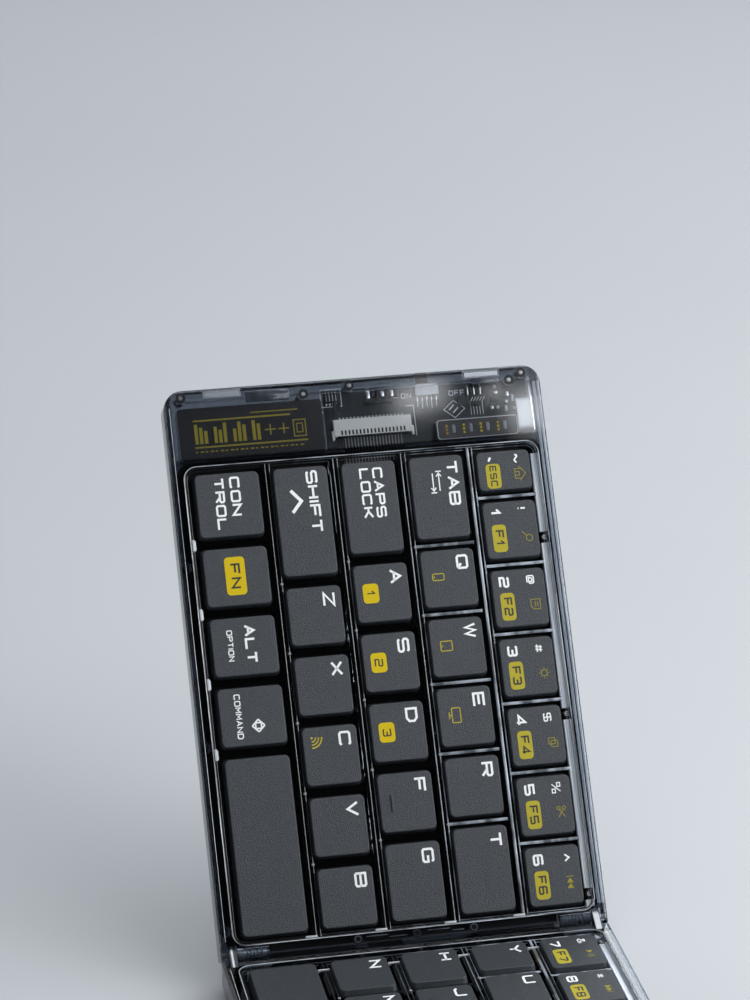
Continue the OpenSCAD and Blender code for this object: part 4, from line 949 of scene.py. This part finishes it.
# The world is brighter on one side, and has a pale backdrop all round, up to a little above the horizon
world = bpy.data.worlds.new("studio")
bpy.context.scene.world = world
world.use_nodes = True
wt = world.node_tree
bg = wt.nodes["Background"]
bg.inputs["Color"].default_value = (0.80, 0.86, 0.94, 1)
sky = wt.nodes.new("ShaderNodeTexCoord").outputs["Generated"]
side = node(wt, "ShaderNodeVectorMath", operation="DOT_PRODUCT")
side.inputs[1].default_value = (-0.80, 0.58, 0.15)
wt.links.new(sky, side.inputs[0])
height = wt.nodes.new("ShaderNodeSeparateXYZ")
wt.links.new(sky, height.inputs[0])
fall = mapped(wt, side.outputs["Value"], -0.40, 0.85, 0.03, 1.0, smooth=True)
backdrop = mapped(wt, height.outputs["Z"], 0.10, 0.24, 0.40, 0.0, smooth=True)
wt.links.new(combined(wt, "MAXIMUM", fall, backdrop), bg.inputs["Strength"])

CAMERA_AT = RIGHT_AT + Vector((0.75066, -0.15347, 0.4290))


def area(name, loc, target, size, size_y, power, color=(1, 1, 1)):
    """A lamp that faces its target."""
    light = bpy.data.lights.new(name, "AREA")
    light.energy = power
    light.color = color
    light.shape = "RECTANGLE"
    light.size = size
    light.size_y = size_y
    o = bpy.data.objects.new(name, light)
    o.location = loc
    o.rotation_euler = (Vector(target) - Vector(loc)).to_track_quat("-Z", "Y").to_euler()
    bpy.context.scene.collection.objects.link(o)


def soft_edges(name, edges):
    """Lets a lamp fade towards its edges, so that its mirror image has soft ones. Each edge is
    (axis, where it is dark, where it is full)."""
    light = bpy.data.lights[name]
    light.use_nodes = True
    t = light.node_tree
    sep = t.nodes.new("ShaderNodeSeparateXYZ")
    t.links.new(t.nodes.new("ShaderNodeNewGeometry").outputs["Parametric"], sep.inputs[0])
    fades = [mapped(t, sep.outputs[axis], dark, full, smooth=True) for axis, dark, full in edges]
    total = fades[0]
    for fade in fades[1:]:
        total = combined(t, "MULTIPLY", total, fade)
    t.links.new(total, next(n for n in t.nodes if n.type == "EMISSION").inputs["Strength"])


# The window's normal, with the scale from mm undone
WINDOW_NORMAL = LEFT.to_3x3() @ Vector((0, 0, 1000))


def glint(s, y):
    """A place on the window, and the direction in which it mirrors the camera."""
    spot = LEFT @ Vector((-s, y, RIM_TOP))
    look = (CAMERA_AT - spot).normalized()
    return spot, (2 * WINDOW_NORMAL.dot(look) * WINDOW_NORMAL - look).normalized()


# The main lamp, whose soft edge the back corner of the window mirrors towards the camera
spot, away = glint(139, 44)
area("light_soft", spot + away * 0.62 + Vector((0.0, 0.28, 0.012)), spot, 0.56, 0.45, 2.6)
soft_edges("light_soft", [(0, 0.02, 0.14)])

# Small lamps for the glare on the window: place, width, height, power, and the fade at each edge
GLARE_FAR = 1.1
for name, s0, y0, size, size_y, power, left, right, low, high in (
        ("light_glint", 138.2, 17.3, 0.048, 0.030, 0.0195, 0.45, 0.6, 0.5, 0.5),
        ("light_corner", 132.0, 46.6, 0.04, 0.04, 0.032, 0.5, 0.5, 0.5, 0.5),
        ("light_glint_small", 138.0, 37.5, 0.026, 0.02, 0.0036, 0.5, 0.5, 0.5, 0.5)):
    spot, away = glint(s0, y0)
    area(name, spot + away * GLARE_FAR, spot, size, size_y, power)
    soft_edges(name, [(0, 0, left), (0, 1, right), (1, 0, low), (1, 1, high)])
COOL = (0.95, 0.98, 1)
area("light_top", (-0.15, 0.0, 1.6), (-0.1, 0, 0.03), 1.0, 1.0, 5.5)
area("light_rim", (-1.2, 0.5, 0.9), (-0.1, 0, 0.05), 0.8, 0.5, 5, COOL)
area("light_left", (0.0, -1.05, 0.30), (-0.1, 0, 0.06), 0.9, 0.3, 0.8, COOL)
area("light_side", (0.15, 0.85, 0.42), (-0.1, 0, 0.08), 0.9, 0.4, 7.5, COOL)

# The camera at the photo's angle
cam = bpy.data.cameras.new("camera")
cam.lens = 124.74
cam.sensor_width = 36
cam.sensor_fit = "AUTO"
cam.clip_start = 0.05
cam.clip_end = 50
cam_o = bpy.data.objects.new("camera", cam)
cam_right = (0.19226, 0.98128, -0.01073)
cam_up = (-0.36275, 0.08123, 0.92834)
cam_back = (0.91184, -0.17459, 0.37158)
m = Matrix((cam_right, cam_up, cam_back)).transposed().to_4x4()
m.translation = CAMERA_AT
cam_o.matrix_world = m
bpy.context.scene.collection.objects.link(cam_o)
bpy.context.scene.camera = cam_o
bpy.context.scene.view_settings.view_transform = "Standard"
